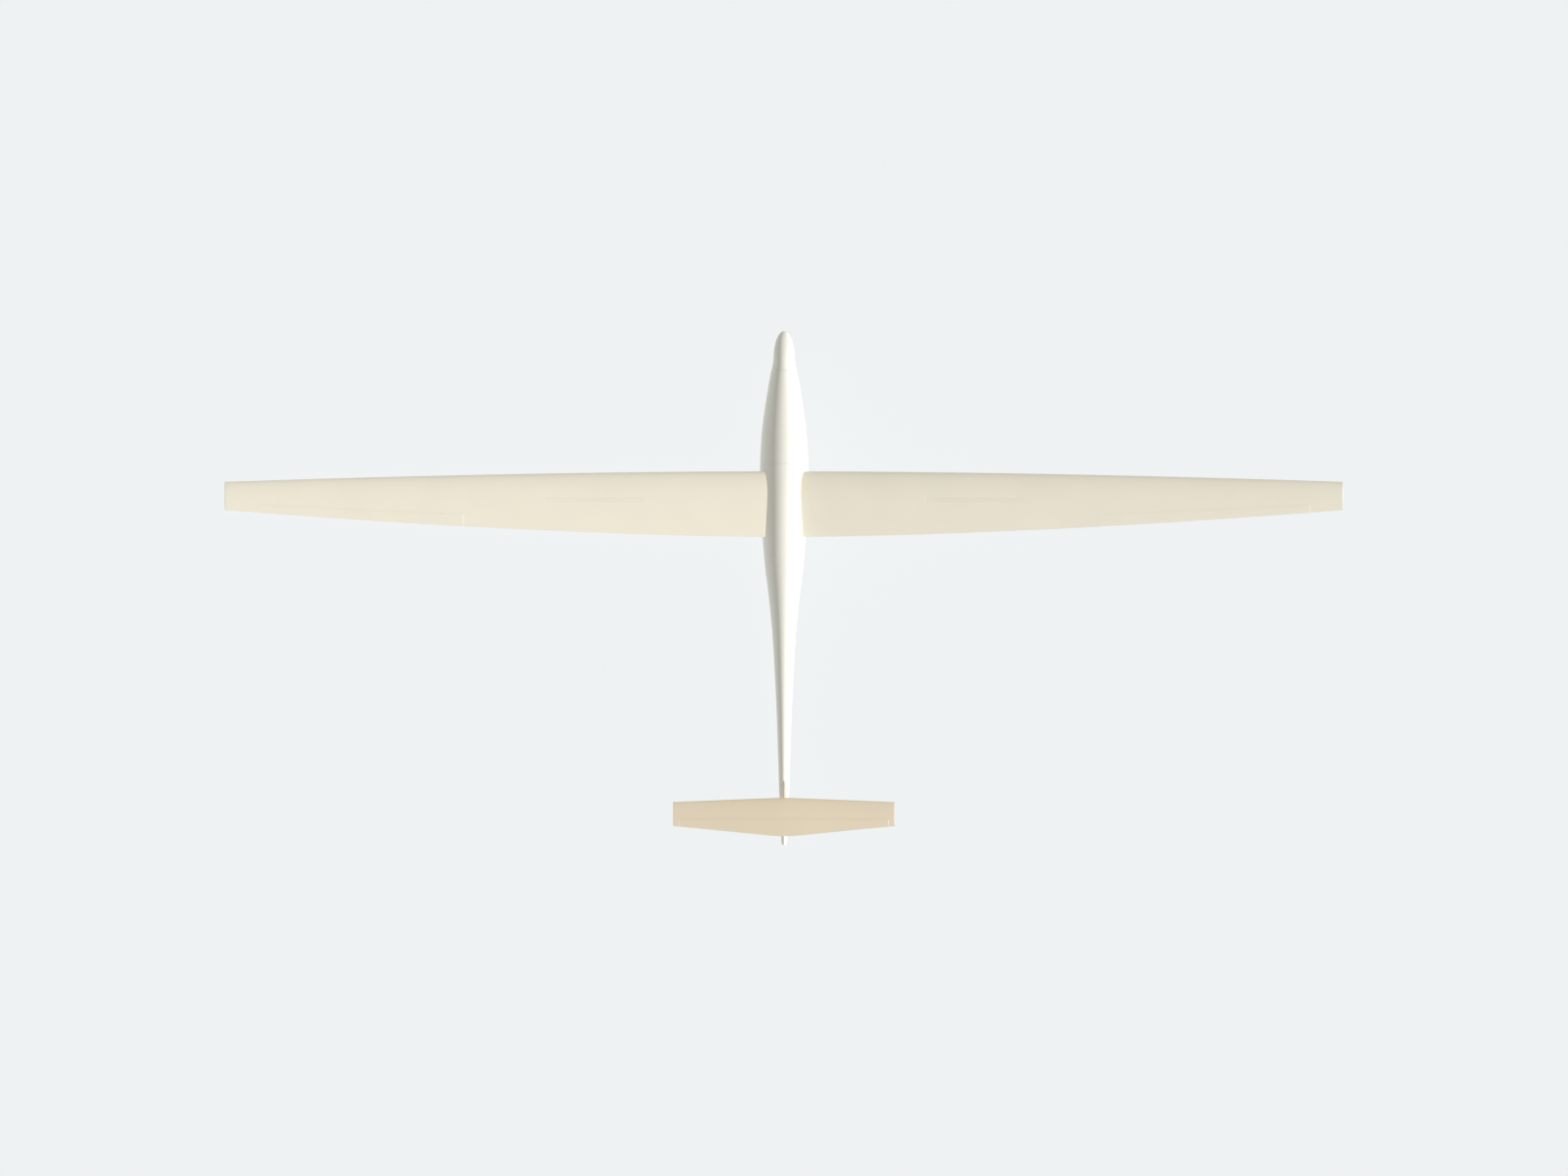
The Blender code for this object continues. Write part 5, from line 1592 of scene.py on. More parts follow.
@dataclass
class Tail:
    """Tailplane with its elevator, and fin with its rudder."""

    hull: HullForm
    finishes: Finishes
    form: TailplaneForm = field(default_factory=TailplaneForm)
    fin_form: FinForm = field(default_factory=FinForm)
    elevator_end: float = 1.40
    elevator_limits: tuple[float, float] = (25.0, 20.0)
    rudder_bottom: float = 0.10
    rudder_top: float = 1.13
    rudder_limit: float = 30.0
    fin_root: float = 0.085
    fin_top: float = 1.195
    fin_fade: float = 0.25
    tip_start: float = 1.478
    elevator_hinges: tuple[float, ...] = (-1.15, -0.45, 0.45, 1.15)
    rudder_hinges: tuple[float, ...] = (0.25, 0.95)

    def level(self, rows: Array, share: Array, height: Array) -> Array:
        """Points of the tailplane."""
        return self.form.place(rows[:, None] + 0 * share, share, height)

    def upright(self, rows: Array, share: Array, height: Array) -> Array:
        """Points of the fin, whose ends are drawn onto the boom's skin and the tailplane's lower skin.

        The pull fades evenly from all of the way at an end to none at a quarter of the fin's height from it.

        Args:
            rows: Heights.
            share: Chord shares.
            height: Section heights, in chords.

        Returns:
            The points.
        """
        span = self.fin_fade * (self.fin_top - self.fin_root)
        low = np.clip(1 - (rows - self.fin_root) / span, 0, 1)[:, None]
        high = np.clip(1 - (self.fin_top - rows) / span, 0, 1)[:, None]
        x = rows[:, None] + 0 * share
        for _ in range(10):
            right, forward, _ = np.moveaxis(self.fin_form.place(x, share, height), -1, 0)
            boom = self.hull.top_at(-forward, right) + SEAT
            along = (-forward - self.form.lead(right)) / self.form.chord(right)
            under = self.form.skin(right, along, -1.0)[..., 2] - SEAT
            x = rows[:, None] + low * (boom - self.fin_root) + high * (under - self.fin_top)
        return self.fin_form.place(x, share, height)

    def tailplane(self) -> Skin:
        """Tailplane with the elevator's cove and round tips.

        Returns:
            The closed skin.
        """
        form, edge = self.form, self.elevator_end + ROOM
        tip = self.tip_start + (form.half_span - self.tip_start) * np.sin(np.linspace(0, math.pi / 2, 9))
        right = np.concatenate([np.linspace(0, edge, 27), [0.5 * (edge + self.tip_start)], tip])
        rows = np.concatenate([-right[:0:-1], right])
        full = rounded(rows, self.tip_start, form.half_span)[:, None]
        net = PanelNet(form, self.level)
        one, zero = np.ones_like(rows), np.zeros_like(rows)
        skin, aft = Skin(), []
        for sign in (1.0, -1.0):
            lip = form.lip(rows, sign)
            skin.grid(net.patch(rows, columns(zero, lip, 37, 2.0), sign, full))
            aft.append(net.patch(rows, columns(lip, one, 12), sign, full))
        net.trail(skin, rows, (-edge, edge), *aft)
        return skin

    def fin(self) -> Skin:
        """Fin ahead of the rudder, with the rudder's cove up its back.

        Returns:
            The closed skin.
        """
        rows = np.linspace(self.fin_root, self.fin_top, 41)
        net, zero = PanelNet(self.fin_form, self.upright), np.zeros_like(rows)
        right, left = (
            net.patch(rows, columns(zero, self.fin_form.lip(rows, sign), 33, 2.0), sign) for sign in (1.0, -1.0)
        )
        trough = net.cove(rows)
        skin = Skin().grid(right).grid(left).grid(trough)
        for row in (0, -1):
            skin.cap(np.vstack([right[row], trough[row, 1:-1], left[row][:0:-1]]))
        return skin

    def build(self, shop: Workshop) -> None:
        """Makes the tail's pieces.

        Args:
            shop: Where pieces are made.
        """
        finishes, end = self.finishes, self.elevator_end
        shop.piece("tailplane_skin", self.tailplane(), finishes.tail, replaces=["tailplane"])
        elevator = Flap("elevator", self.form, -end, end, self.elevator_hinges)
        elevator.build(shop, finishes.tail, finishes, 56)
        net = PanelNet(self.form, self.level)
        rows = np.linspace(-end - net.seal_past, end + net.seal_past, 60)
        for sign, limit, place in zip((1.0, -1.0), self.elevator_limits, ("upper", "lower")):
            shop.piece(f"elevator_seal_{place}", net.seal(rows, sign, limit), finishes.tail_seal)
        # The fin, the rudder and the rudder's seals wear the darker fin tan, which holds painted shade.
        shop.piece("fin_skin", self.fin(), finishes.fin, replaces=["fin"])
        rudder = Flap("rudder", self.fin_form, self.rudder_bottom, self.rudder_top, self.rudder_hinges)
        rudder.build(shop, finishes.fin, finishes, 30)
        net, rows = PanelNet(self.fin_form, self.upright), np.linspace(self.rudder_bottom, self.rudder_top, 30)
        for sign, place in ((1.0, "right"), (-1.0, "left")):
            shop.piece(f"rudder_seal_{place}", net.seal(rows, sign, self.rudder_limit), finishes.fin)


@dataclass
class Wheel:
    """A wheel in its well: tyre, hub, axle and fork."""

    word: str
    body: str
    finishes: Finishes
    station: float
    height: float
    radius: float
    half_width: float
    rim: float
    axle_radius: float
    leg_wall: float
    well: WellSize
    grooves: tuple[float, ...]
    bolts: int
    groove_depth: float = 0.0028
    groove_width: float = 0.0016
    groove_edge: float = 0.3
    crown_share: float = 0.52
    crown_power: float = 0.8
    wall_draw: float = 0.28
    bolt_circle: float = 0.60
    bolt_share: float = 0.065
    bolt_chamfer: float = 0.012
    foot_share: float = 0.16
    foot_flare: float = 1.15
    top_share: float = 0.25

    @property
    def centre(self) -> Array:
        """The axle's middle."""
        return np.array([0.0, -self.station, self.height])

    def tyre(self) -> Skin:
        """Tyre: a blunt oval crown with grooves round it, and walls that draw in to the beads.

        On the crown the half-width follows the sine of the turn to the power 0.8 and the height its cosine to
        the same power. Each groove takes off a smooth dip at its place.

        Returns:
            The closed ring.
        """
        middle = self.rim + self.crown_share * (self.radius - self.rim)
        turn = np.linspace(-math.pi / 2, math.pi / 2, 97)
        x = self.half_width * blunt(np.sin(turn), self.crown_power)
        radius = middle + (self.radius - middle) * np.cos(turn).clip(0) ** self.crown_power
        for place in self.grooves:
            dip = np.exp(-(((np.abs(x) - place) / self.groove_width) ** 4))
            radius -= self.groove_depth * dip * (np.cos(turn) > self.groove_edge)
        down = np.linspace(0, 1, 10)[1:]
        half = self.half_width * (1 - self.wall_draw * down**2)
        wall = np.column_stack([middle - (middle - self.rim) * down, half])
        return turned(np.vstack([wall[::-1] * (1, -1), np.column_stack([radius, x]), wall]), self.centre, 128)

    def hub(self) -> Skin:
        """Hub: a bore, a dished web and two rim flanges, as one smooth closed profile, with bolts on the web.

        Returns:
            The hub and its bolts.
        """
        rim, half, bore = self.rim - SEAT, self.half_width, self.axle_radius + 2 * SEAT
        dish = np.array([
            (0.33, 0.60), (0.36, 0.58), (0.40, 0.36), (0.43, 0.29), (0.48, 0.26), (0.72, 0.25), (0.79, 0.29),
            (0.84, 0.42), (0.87, 0.62), (0.90, 0.675), (0.94, 0.70), (1.0, 0.69),
        ])
        side = np.vstack([[(bore, 0.58 * half), (bore + 0.001, 0.60 * half)], dish * (rim, half)])
        parts = [turned(np.vstack([side, (side * (1, -1))[::-1]]), self.centre)]
        reach = np.array([0.25 * half + 0.09 * rim, 0.0, 0.0])
        for turn in circle(self.bolts):
            spoke = self.centre + self.bolt_circle * rim * np.array([0.0, math.cos(turn), math.sin(turn)])
            parts.append(rod(spoke - reach, spoke + reach, self.bolt_share * rim, 6, self.bolt_chamfer * rim))
        return joined(*parts)

    def axle(self) -> Skin:
        """Axle with a spacer and a washer inside each fork leg.

        Returns:
            The axle and its rings.
        """
        reach = np.array([self.well.half_width - 2 * SEAT, 0.0, 0.0])
        parts = [rod(self.centre - reach, self.centre + reach, self.axle_radius, 40, 0.001)]
        hub_end = 0.60 * self.half_width + 0.001
        leg = self.well.half_width - SEAT - self.leg_wall - 0.001
        bore = self.axle_radius - 0.0002
        for side in (-1, 1):
            for wide, start, end in ((1.9, leg - 0.003, leg), (1.35, hub_end, leg - 0.0032)):
                rim = wide * self.axle_radius
                ring = ((bore, side * start), (rim, side * start), (rim, side * end), (bore, side * end))
                parts.append(turned(ring, self.centre, 40))
        return joined(*parts)

    def leg(self) -> Array:
        """Outline of a fork leg, as stations and heights.

        It is a half circle round the axle, and above that it widens up to the roof by the square of the rise.

        Returns:
            The outline.
        """
        turn = np.linspace(math.pi, TURN, 25)
        foot = self.foot_share * self.radius
        wide = self.foot_flare * foot
        low = np.column_stack([self.station + wide * np.cos(turn), self.height + foot * np.sin(turn)])
        rise = np.linspace(0, 1, 9)[1:]
        flare = wide + (self.top_share * self.radius - wide) * rise**2
        level = self.height + (self.well.top - SEAT - self.height) * rise
        right, left = (np.column_stack([self.station + sign * flare, level]) for sign in (1, -1))
        return np.vstack([low, right, left[::-1]])

    def fork(self) -> tuple[Skin, list[Skin]]:
        """Fork in the well, two legs under a plate, and the holes in it.

        Returns:
            The fork, and what is cut out of it.
        """
        outer, thick, roof = self.well.half_width - SEAT, self.leg_wall, self.well.top - SEAT
        outline, wide = self.leg(), self.top_share * self.radius
        inner = outer - thick + 0.0005
        y = -self.station + wide * np.array([-1, 1, 1, -1])
        plate = Skin().bar(xyz(np.array([[-inner], [inner]]), y, roof - thick * np.array([1, 1, 0, 0])))
        fork = joined(slab(outline, -outer, -outer + thick), slab(outline, outer - thick, outer), plate)
        middle = 0.5 * (self.height + roof)
        places = (
            (self.height, self.axle_radius + SEAT, 40), (middle, 0.075 * self.radius, 36),
            (middle + 0.33 * (roof - self.height), 0.055 * self.radius, 36),
        )
        return fork, [rod((-1, -self.station, z), (1, -self.station, z), radius, sides) for z, radius, sides in places]

    def build(self, shop: Workshop) -> None:
        """Makes the wheel's pieces.

        Args:
            shop: Where pieces are made.
        """
        word, finishes = self.word, self.finishes
        shop.piece(f"{word}_tyre_skin", self.tyre(), finishes.tyre, self.body, replaces=[f"{word}_tyre"])
        shop.piece(f"{word}_hub_skin", self.hub(), finishes.alloy, self.body, replaces=[f"{word}_hub"])
        shop.piece(f"{word}_axle_skin", self.axle(), finishes.steel, replaces=[f"{word}_axle"])
        fork, cuts = self.fork()
        mesh = shop.carve(fork, f"{word}_fork", cuts)
        shop.piece(f"{word}_fork", mesh, finishes.steel, replaces=[f"{word}_frame"])


@dataclass
class Cockpit:
    """Seat, cushions, harness, instrument panel, stick, levers and pedals."""

    hull: HullForm
    finishes: Finishes
    pan_line: Knots = ((1.02, -0.205), (1.12, -0.225), (1.25, -0.262), (1.36, -0.268), (1.4505, -0.2305))
    back_line: Knots = ((1.452, -0.228), (1.52, -0.150), (1.59, -0.040), (1.65, 0.060), (1.69, 0.088))
    shell: float = 0.014
    pad_half_width: float = 0.165
    pad_lift: float = 0.0008
    pad_edge: float = 0.003
    pad_draw: float = 0.035
    channel_width: float = 0.035
    channel_depth: float = 0.38
    strap_width: float = 0.042
    strap_thick: float = 0.0022
    buckle_share: float = 0.70
    buckle_lift: float = 0.0505
    head_middle: Triple = (0.0, -1.7275, 0.1725)
    head_half: Triple = (0.10, 0.0275, 0.0625)
    panel_middle: Triple = (0.0, -0.86, 0.0575)
    panel_half: Triple = (0.15, 0.06, 0.0875)
    pedestal_middle: float = -0.86
    pedestal_half: Triple = (0.030, 0.040, 0.020)
    pedestal_top: float = -0.025
    pedestal_drop: float = 0.34
    dial_face: float = -0.9175
    dials_at: Knots = (
        (-0.084, 0.088, 0.033), (0.0, 0.096, 0.033), (0.084, 0.088, 0.033), (-0.084, 0.012, 0.025),
        (0.0, 0.017, 0.033), (0.084, 0.012, 0.025),
    )
    knob_length: float = 0.030
    pedal_reach: float = 0.075
    pedal_half: float = 0.04
    pedal_line: Knots = ((0.6265, -0.15), (0.6265, -0.03), (0.630, -0.022), (0.639, -0.020))
    pedal_faces: tuple[float, float] = (0.0045, 0.0075)
    pedal_bar: tuple[float, float] = (-0.625, -0.115)
    pedal_bar_radius: float = 0.007
    rib_levels: tuple[float, ...] = (-0.125, -0.09, -0.055)
    rib_station: float = 0.6345
    rib_reach: float = 0.036
    rib_radius: float = 0.003
    stick_station: float = 0.98
    stick_top: float = -0.245
    boot_radius: float = 0.034
    boot_draw: float = 0.017
    pleat_depth: float = 0.0028
    pleats: int = 6
    shaft_radius: float = 0.0095
    grip_station: float = 1.005
    grip_radius: float = 0.0150
    grip_swell: float = 0.0035
    finger_depth: float = 0.0018

    def line(self, knots: Knots, count: int, lift: float) -> Array:
        """Smooth seat line, moved along its own normal, as stations and heights."""
        path = bend(knots, count)
        heading = headings(path)
        return path + lift * np.column_stack([-heading[:, 1], heading[:, 0]])

    def seat(self, knots: Knots) -> Skin:
        """Seat shell from wall to wall: rows along the seat line, columns across, on both faces.

        Args:
            knots: The seat line.

        Returns:
            The closed shell.
        """
        under = self.line(knots, 33, -self.shell / 2)
        faces = []
        for path in (self.line(knots, 33, self.shell / 2), under):
            wide = self.hull.inner(path[:, 0], np.minimum(path[:, 1], under[:, 1]))[:, None]
            faces.append(xyz(np.linspace(-1, 1, 33) * wide, -path[:, :1], path[:, 1:]))
        return Skin().sheet(*faces)

    def cushion(self, knots: Knots, ends: tuple[float, float], thick: float, channels: int) -> Skin:
        """Crowned pad on a seat shell.

        Across and along, the crown is one less the fourth power of the share of the way to the edge, to the
        power 0.4. Sewn channels pull it down along lines across the seat. The sides draw in between the corners
        by a small share of the crown along the other edge.

        Args:
            knots: The seat line.
            ends: Shares of the way along it.
            thick: Greatest thickness.
            channels: Sewn lines across the pad.

        Returns:
            The closed pad.
        """
        path = self.line(knots, 200, self.shell / 2 + self.pad_lift)
        u, v = eased(-1, 1, 61)[None, :], eased(-1, 1, 81)[:, None]
        index = (ends[0] + (ends[1] - ends[0]) * 0.5 * (v[:, 0] + 1)) * (len(path) - 1)
        station, height = between(index, path).T[..., None]
        aft, climb = between(index, headings(path)).T[..., None]
        crown = ((1 - u**4) * (1 - v**4)).clip(0) ** 0.4
        lines = np.linspace(-1, 1, channels + 2)[1:-1]
        seam = np.exp(-(((v - lines) / self.channel_width) ** 2)).sum(axis=1, keepdims=True)
        dip = 1 - self.channel_depth * seam * (1 - u**8)
        rise = self.pad_edge * crown + (thick - self.pad_edge) * crown * dip
        x = self.pad_half_width * u * (1 - self.pad_draw * (1 - v**2))
        return Skin().grid(xyz(x, climb * rise - station, height + aft * rise)).grid(xyz(x, -station, height))

    def strap(self, way: Array, across: Array) -> Skin:
        """Flat webbing: a thin six-sided section, swept along a path.

        Args:
            way: The path.
            across: Direction of the strap's width.

        Returns:
            The closed strap.
        """
        side = unit(np.asarray(across, float))
        normal = unit(np.cross(np.gradient(way, axis=0), side))
        section = ((-1, 0), (-0.96, 1), (0.96, 1), (1, 0), (0.96, -1), (-0.96, -1))
        wide, thick = self.strap_width / 2, self.strap_thick / 2
        return Skin().bar(np.stack([way + side * right * wide + normal * up * thick for right, up in section], 1))

    def over(self, knots: Knots, share: float, lift: float, x: float = 0.0) -> Array:
        """Point over a seat line.

        Args:
            knots: The seat line.
            share: Share of the way along it; past 1 the line runs on straight.
            lift: Height on its normal.
            x: Distance from the middle.

        Returns:
            The point.
        """
        path = bend(knots, 81)
        place = share * (len(path) - 1)
        way = between(place, np.gradient(path, axis=0))
        station, height = between(place, path) + max(place - len(path) + 1, 0) * way
        aft, climb = unit(way)
        return np.array([x, -(station - lift * climb), height + lift * aft])

    def harness(self) -> tuple[Skin, Skin]:
        """Two shoulder straps and two lap straps that lie on the pads and meet at a round buckle.

        Each path is given as a seat line, a share of the way along it, a height over it and a distance from the
        middle. The shoulder straps are sewn to the rear of the seat back and come over its top edge.

        Returns:
            The straps and the buckle.
        """
        back, pan, right = self.back_line, self.pan_line, np.array([1.0, 0.0, 0.0])
        shoulder = (
            (back, 0.90, -0.0095, 0.080), (back, 0.97, -0.0100, 0.080), (back, 1.025, 0.0000, 0.080),
            (back, 0.985, 0.0120, 0.080), (back, 0.93, 0.0330, 0.080), (back, 0.86, 0.0405, 0.080),
            (back, 0.60, 0.0412, 0.080), (back, 0.30, 0.0412, 0.078), (back, 0.12, 0.0420, 0.062),
            (pan, 0.92, 0.0490, 0.038), (pan, 0.80, 0.0500, 0.020), (pan, 0.735, 0.0505, 0.012),
        )
        lap = (
            (pan, 0.95, 0.0100, 0.192), (pan, 0.94, 0.0240, 0.180), (pan, 0.92, 0.0420, 0.160),
            (pan, 0.88, 0.0470, 0.125), (pan, 0.79, 0.0490, 0.060), (pan, 0.715, 0.0505, 0.014),
        )
        ahead = self.over(pan, 0.7, 0.0) - self.over(pan, 0.9, 0.0)
        straps = [
            self.strap(bend([self.over(*knot[:3], side * knot[3]) for knot in knots], count), across)
            for side in (-1.0, 1.0)
            for knots, across, count in ((shoulder, right, 120), (lap, ahead, 50))
        ]
        middle = self.over(pan, self.buckle_share, self.buckle_lift)
        up = self.over(pan, self.buckle_share, 1.0) - self.over(pan, self.buckle_share, 0.0)
        turn = circle(48)[:, None]
        ring = np.cos(turn) * right + np.sin(turn) * np.cross(up, right)
        steps = (
            (-0.006, 0.026), (-0.004, 0.029), (0.004, 0.029), (0.007, 0.026), (0.007, 0.018), (0.005, 0.017),
            (0.005, 0.010), (0.009, 0.009),
        )
        return joined(*straps), Skin().bar(np.stack([middle + up * level + ring * size for level, size in steps]))

    def head_pad(self) -> Skin:
        """Headrest pad, whose front is crowned by one less the square of the share across.

        Each coordinate is half the pad's size times the sines and cosines of two turns, to powers below 1.

        Returns:
            The closed pad.
        """
        u, v = circle(72)[None, :], np.linspace(-math.pi / 2, math.pi / 2, 41)[:, None]
        flat = blunt(np.cos(v), 0.45)
        x, y, z = flat * blunt(np.cos(u), 0.45), blunt(np.sin(v), 0.55), flat * blunt(np.sin(u), 0.45)
        net = np.array(self.head_middle) + np.array(self.head_half) * xyz(x, y, z)
        net[..., 1] += 0.004 * (1 - x**2) * (y > 0)
        return Skin().grid(net, wrap=True)

    def panel(self) -> tuple[Skin, Skin]:
        """Instrument pod with a rounded face, and the pedestal under it.

        The pod's outline is a superellipse of power 3.2, swept from a small back to a full face with a lip. The
        pedestal widens by the square of the share of the way down and ends on the floor.

        Returns:
            The pod and the pedestal.
        """
        turn = circle(96)
        right, up = blunt(np.cos(turn), 0.62), blunt(np.sin(turn), 0.62)
        steps = np.array([
            (1.0, 0.62), (0.93, 0.74), (0.75, 0.84), (0.4, 0.91), (0.0, 0.95), (-0.6, 0.98), (-0.94, 1.0),
            (-1.0, 0.985), (-1.0, 0.955), (-0.955, 0.945), (-0.955, 0.5),
        ])
        depth, size = steps[:, :1], steps[:, 1:]
        pod = np.array(self.panel_middle) + np.array(self.panel_half) * xyz(size * right, depth, size * up)
        share = np.linspace(0, 1, 12)[:, None]
        wide, long, flare = self.pedestal_half
        x, y = (wide + flare * share**2) * right, self.pedestal_middle + long * up
        level = np.where(share < 1, self.pedestal_top - self.pedestal_drop * share, -1.0)
        pedestal = xyz(x, y, np.maximum(level, self.hull.floor_at(-y, x)))
        return Skin().bar(pod), Skin().bar(pedestal)

    def rings(self, dial: Triple, steps: Knots) -> Array:
        """Circles about a dial's middle, by their depths and their shares of its radius."""
        x, z, radius = dial
        depth, size = np.array(steps).T[..., None]
        turn = circle(48)
        return xyz(x + radius * size * np.cos(turn), self.dial_face + depth, z + radius * size * np.sin(turn))

    def mark(self, dial: Triple, degrees: float, ends: Sequence[float], half: float, depths: Sequence[float]) -> Skin:
        """Thin bar on a dial, tapered to its outer end.

        Args:
            dial: The dial's x, height and radius.
            degrees: Direction of the bar.
            ends: Shares of the radius at which it starts and ends.
            half: Half its width, as a share of the radius.
            depths: How far its back and its front lie ahead of the panel.

        Returns:
            The closed bar.
        """
        x, z, radius = dial
        way = math.radians(degrees)
        along, side = np.array([(math.cos(way), math.sin(way)), (-math.sin(way), math.cos(way))])
        corners = ((ends[0], -half), (ends[1], -0.6 * half), (ends[1], 0.6 * half), (ends[0], half))
        flat = np.array([(along * far + side * wide) * radius for far, wide in corners])
        y = self.dial_face - np.array(depths)[:, None]
        return Skin().bar(xyz(x + flat[:, 0], y, z + flat[:, 1]))

    def dials(self) -> tuple[Skin, Skin, Skin]:
        """Round instruments: bezels, faces, and the marks and needles on them.

        Returns:
            The bezels, the faces and the marks.
        """
        section = ((0.0, 1.0), (-0.0035, 1.0), (-0.005, 0.96), (-0.005, 0.90), (-0.0018, 0.87), (0.0, 0.87))
        bezels = [Skin().grid(self.rings(dial, section), wrap=True, loop=True) for dial in self.dials_at]
        faces = [Skin().bar(self.rings(dial, ((0.0, 0.868), (-0.0012, 0.868)))) for dial in self.dials_at]
        marks = []
        for number, dial in enumerate(self.dials_at):
            for tick in range(12):
                ends = (0.66 if tick % 3 else 0.58, 0.80)
                marks.append(self.mark(dial, 30 * tick, ends, 0.018, (0.0013, 0.0018)))
            marks.append(self.mark(dial, 205 - 47 * number, (-0.14, 0.62), 0.030, (0.0019, 0.0025)))
        return joined(*bezels), joined(*faces), joined(*marks)

    def stick(self) -> tuple[Skin, Skin, Skin]:
        """Control stick: pleated boot, bent shaft and shaped grip.

        The boot's radius falls evenly with a cosine on it. The grip's radius has a sine for the fingers and a
        bell under the thumb, and both its ends are rounded by a high power.

        Returns:
            The boot, the shaft and the grip.
        """
        level = np.linspace(0, 1, 41)
        base = float(self.hull.floor_at(self.stick_station, self.boot_radius))
        pleat = self.boot_radius - self.boot_draw * level + self.pleat_depth * np.cos(level * math.pi * 2 * self.pleats)
        rise = base + 2 * SEAT + (self.stick_top - base) * level
        boot = tube(xyz(0.0, -self.stick_station - 0.004 * level, rise), pleat, 40)
        spine = ((0, -0.983, -0.262), (0, -0.985, -0.15), (0, -1.0, -0.06), (0, -1.005, -0.030))
        height = np.linspace(0, 1, 33)
        fingers = self.finger_depth * np.sin(height * math.pi * 8) * (height > 0.15) * (height < 0.8)
        swell = self.grip_radius + fingers + self.grip_swell * np.exp(-(((height - 0.92) / 0.09) ** 2))
        swell *= np.sqrt(np.clip(1 - (2 * height - 1) ** 16, 0.05, 1))
        grip = tube(xyz(0.0, -self.grip_station + 0.012 * (height - 0.5), -0.042 + 0.100 * height), swell, 32)
        return boot, tube(bend(spine, 30), self.shaft_radius, 24), grip

    def knob(self, x: float, y: float, z: float, radius: float, power: float) -> Skin:
        """Round handle along X, whose radius is the sine of a half turn to a power."""
        turn = np.linspace(0, math.pi, 21)
        spine = xyz(x + self.knob_length * (1 - np.cos(turn)) / 2, y, z)
        return tube(spine, np.maximum(radius * np.sin(turn) ** power, 0.001), 32)

    def levers(self) -> tuple[Skin, Skin, Skin]:
        """Airbrake lever, its knob and the tow release on the left wall.

        Returns:
            The lever, its knob and the release.
        """
        wall, front = -self.hull.inner(np.array([1.15, 0.95]), np.array([-0.02, -0.03]))
        rail = ((wall + 0.012, -1.32, -0.02), (wall + 0.015, -1.15, -0.015), (wall + 0.028, -1.00, -0.012))
        arm = ((wall + 0.018, -1.10, -0.010), (wall + 0.030, -1.105, 0.012), (wall + 0.048, -1.11, 0.022))
        lever = joined(tube(bend(rail, 30), 0.007, 20), tube(bend(arm, 16), 0.0055, 20))
        release = self.knob(front + 0.004, -0.95, -0.03, 0.013, 0.5)
        return lever, self.knob(wall + 0.048, -1.11, 0.022, 0.014, 0.6), release

    def pedals(self) -> Skin:
        """Rudder pedals on their cross bar: bent plates with a toe lip and three ribs each.

        Returns:
            The bar, the plates and the ribs.
        """
        wall = float(self.hull.inner(0.618, -0.122))
        parts = [rod((-wall, *self.pedal_bar), (wall, *self.pedal_bar), self.pedal_bar_radius, 24, 0.0008)]
        lines = [bend(np.array(self.pedal_line) + (lift, 0.0), 20) for lift in self.pedal_faces]
        for middle in (-self.pedal_reach, self.pedal_reach):
            across = middle + np.linspace(-self.pedal_half, self.pedal_half, 9)
            parts.append(Skin().sheet(*(xyz(across, -line[:, :1], line[:, 1:]) for line in lines)))
            for level in self.rib_levels:
                ends = ((middle + reach, -self.rib_station, level) for reach in (-self.rib_reach, self.rib_reach))
                parts.append(rod(*ends, self.rib_radius, 12, 0.0005))
        return joined(*parts)

    def build(self, shop: Workshop) -> None:
        """Makes everything inside the cockpit.

        Args:
            shop: Where pieces are made.
        """
        f = self.finishes
        shop.piece("seat_pan_shell", self.seat(self.pan_line), f.liner, replaces=["seat_pan"])
        shop.piece("seat_back_shell", self.seat(self.back_line), f.liner, replaces=["seat_back"])
        pads = (
            ("seat_cushion", self.cushion(self.pan_line, (0.06, 0.995), 0.034, 4), 0.75, []),
            ("back_cushion", self.cushion(self.back_line, (0.005, 0.95), 0.030, 5), 0.7, []),
            ("head_cushion", self.head_pad(), 0.8, ["headrest"]),
        )
        for name, shape, fill, replaces in pads:
            pad = shop.piece(name, shape, f.cloth, replaces=replaces)
        post = rod((0, -1.839, 0.168), (0, -1.752, 0.168), 0.012, 24, 0.0005)
        straps, buckle = self.harness()
        pod, pedestal = self.panel()
        bezels, faces, marks = self.dials()
        boot, shaft, grip = self.stick()
        lever, knob, release = self.levers()
        for name, shape, finish, *replaces in (
            ("headrest_post", post, f.steel),
            ("harness_straps", straps, f.webbing),
            ("harness_buckle", buckle, f.alloy),
            ("instrument_pod", pod, f.panel, "instrument_panel"),
            ("instrument_pedestal", pedestal, f.panel),
            ("dial_bezels", bezels, f.panel),
            ("dial_faces", faces, f.dial),
            ("dial_marks", marks, f.mark),
            ("stick_gaiter", boot, f.cloth, "control_stick"),
            ("stick_shaft", shaft, f.steel),
            ("stick_grip", grip, f.panel),
            ("airbrake_lever", lever, f.alloy),
            ("airbrake_lever_knob", knob, f.knob),
            ("tow_release_knob", release, f.release),
            ("rudder_pedal_set", self.pedals(), f.alloy, "rudder_pedals"),
        ):
            shop.piece(name, shape, finish, replaces=replaces)


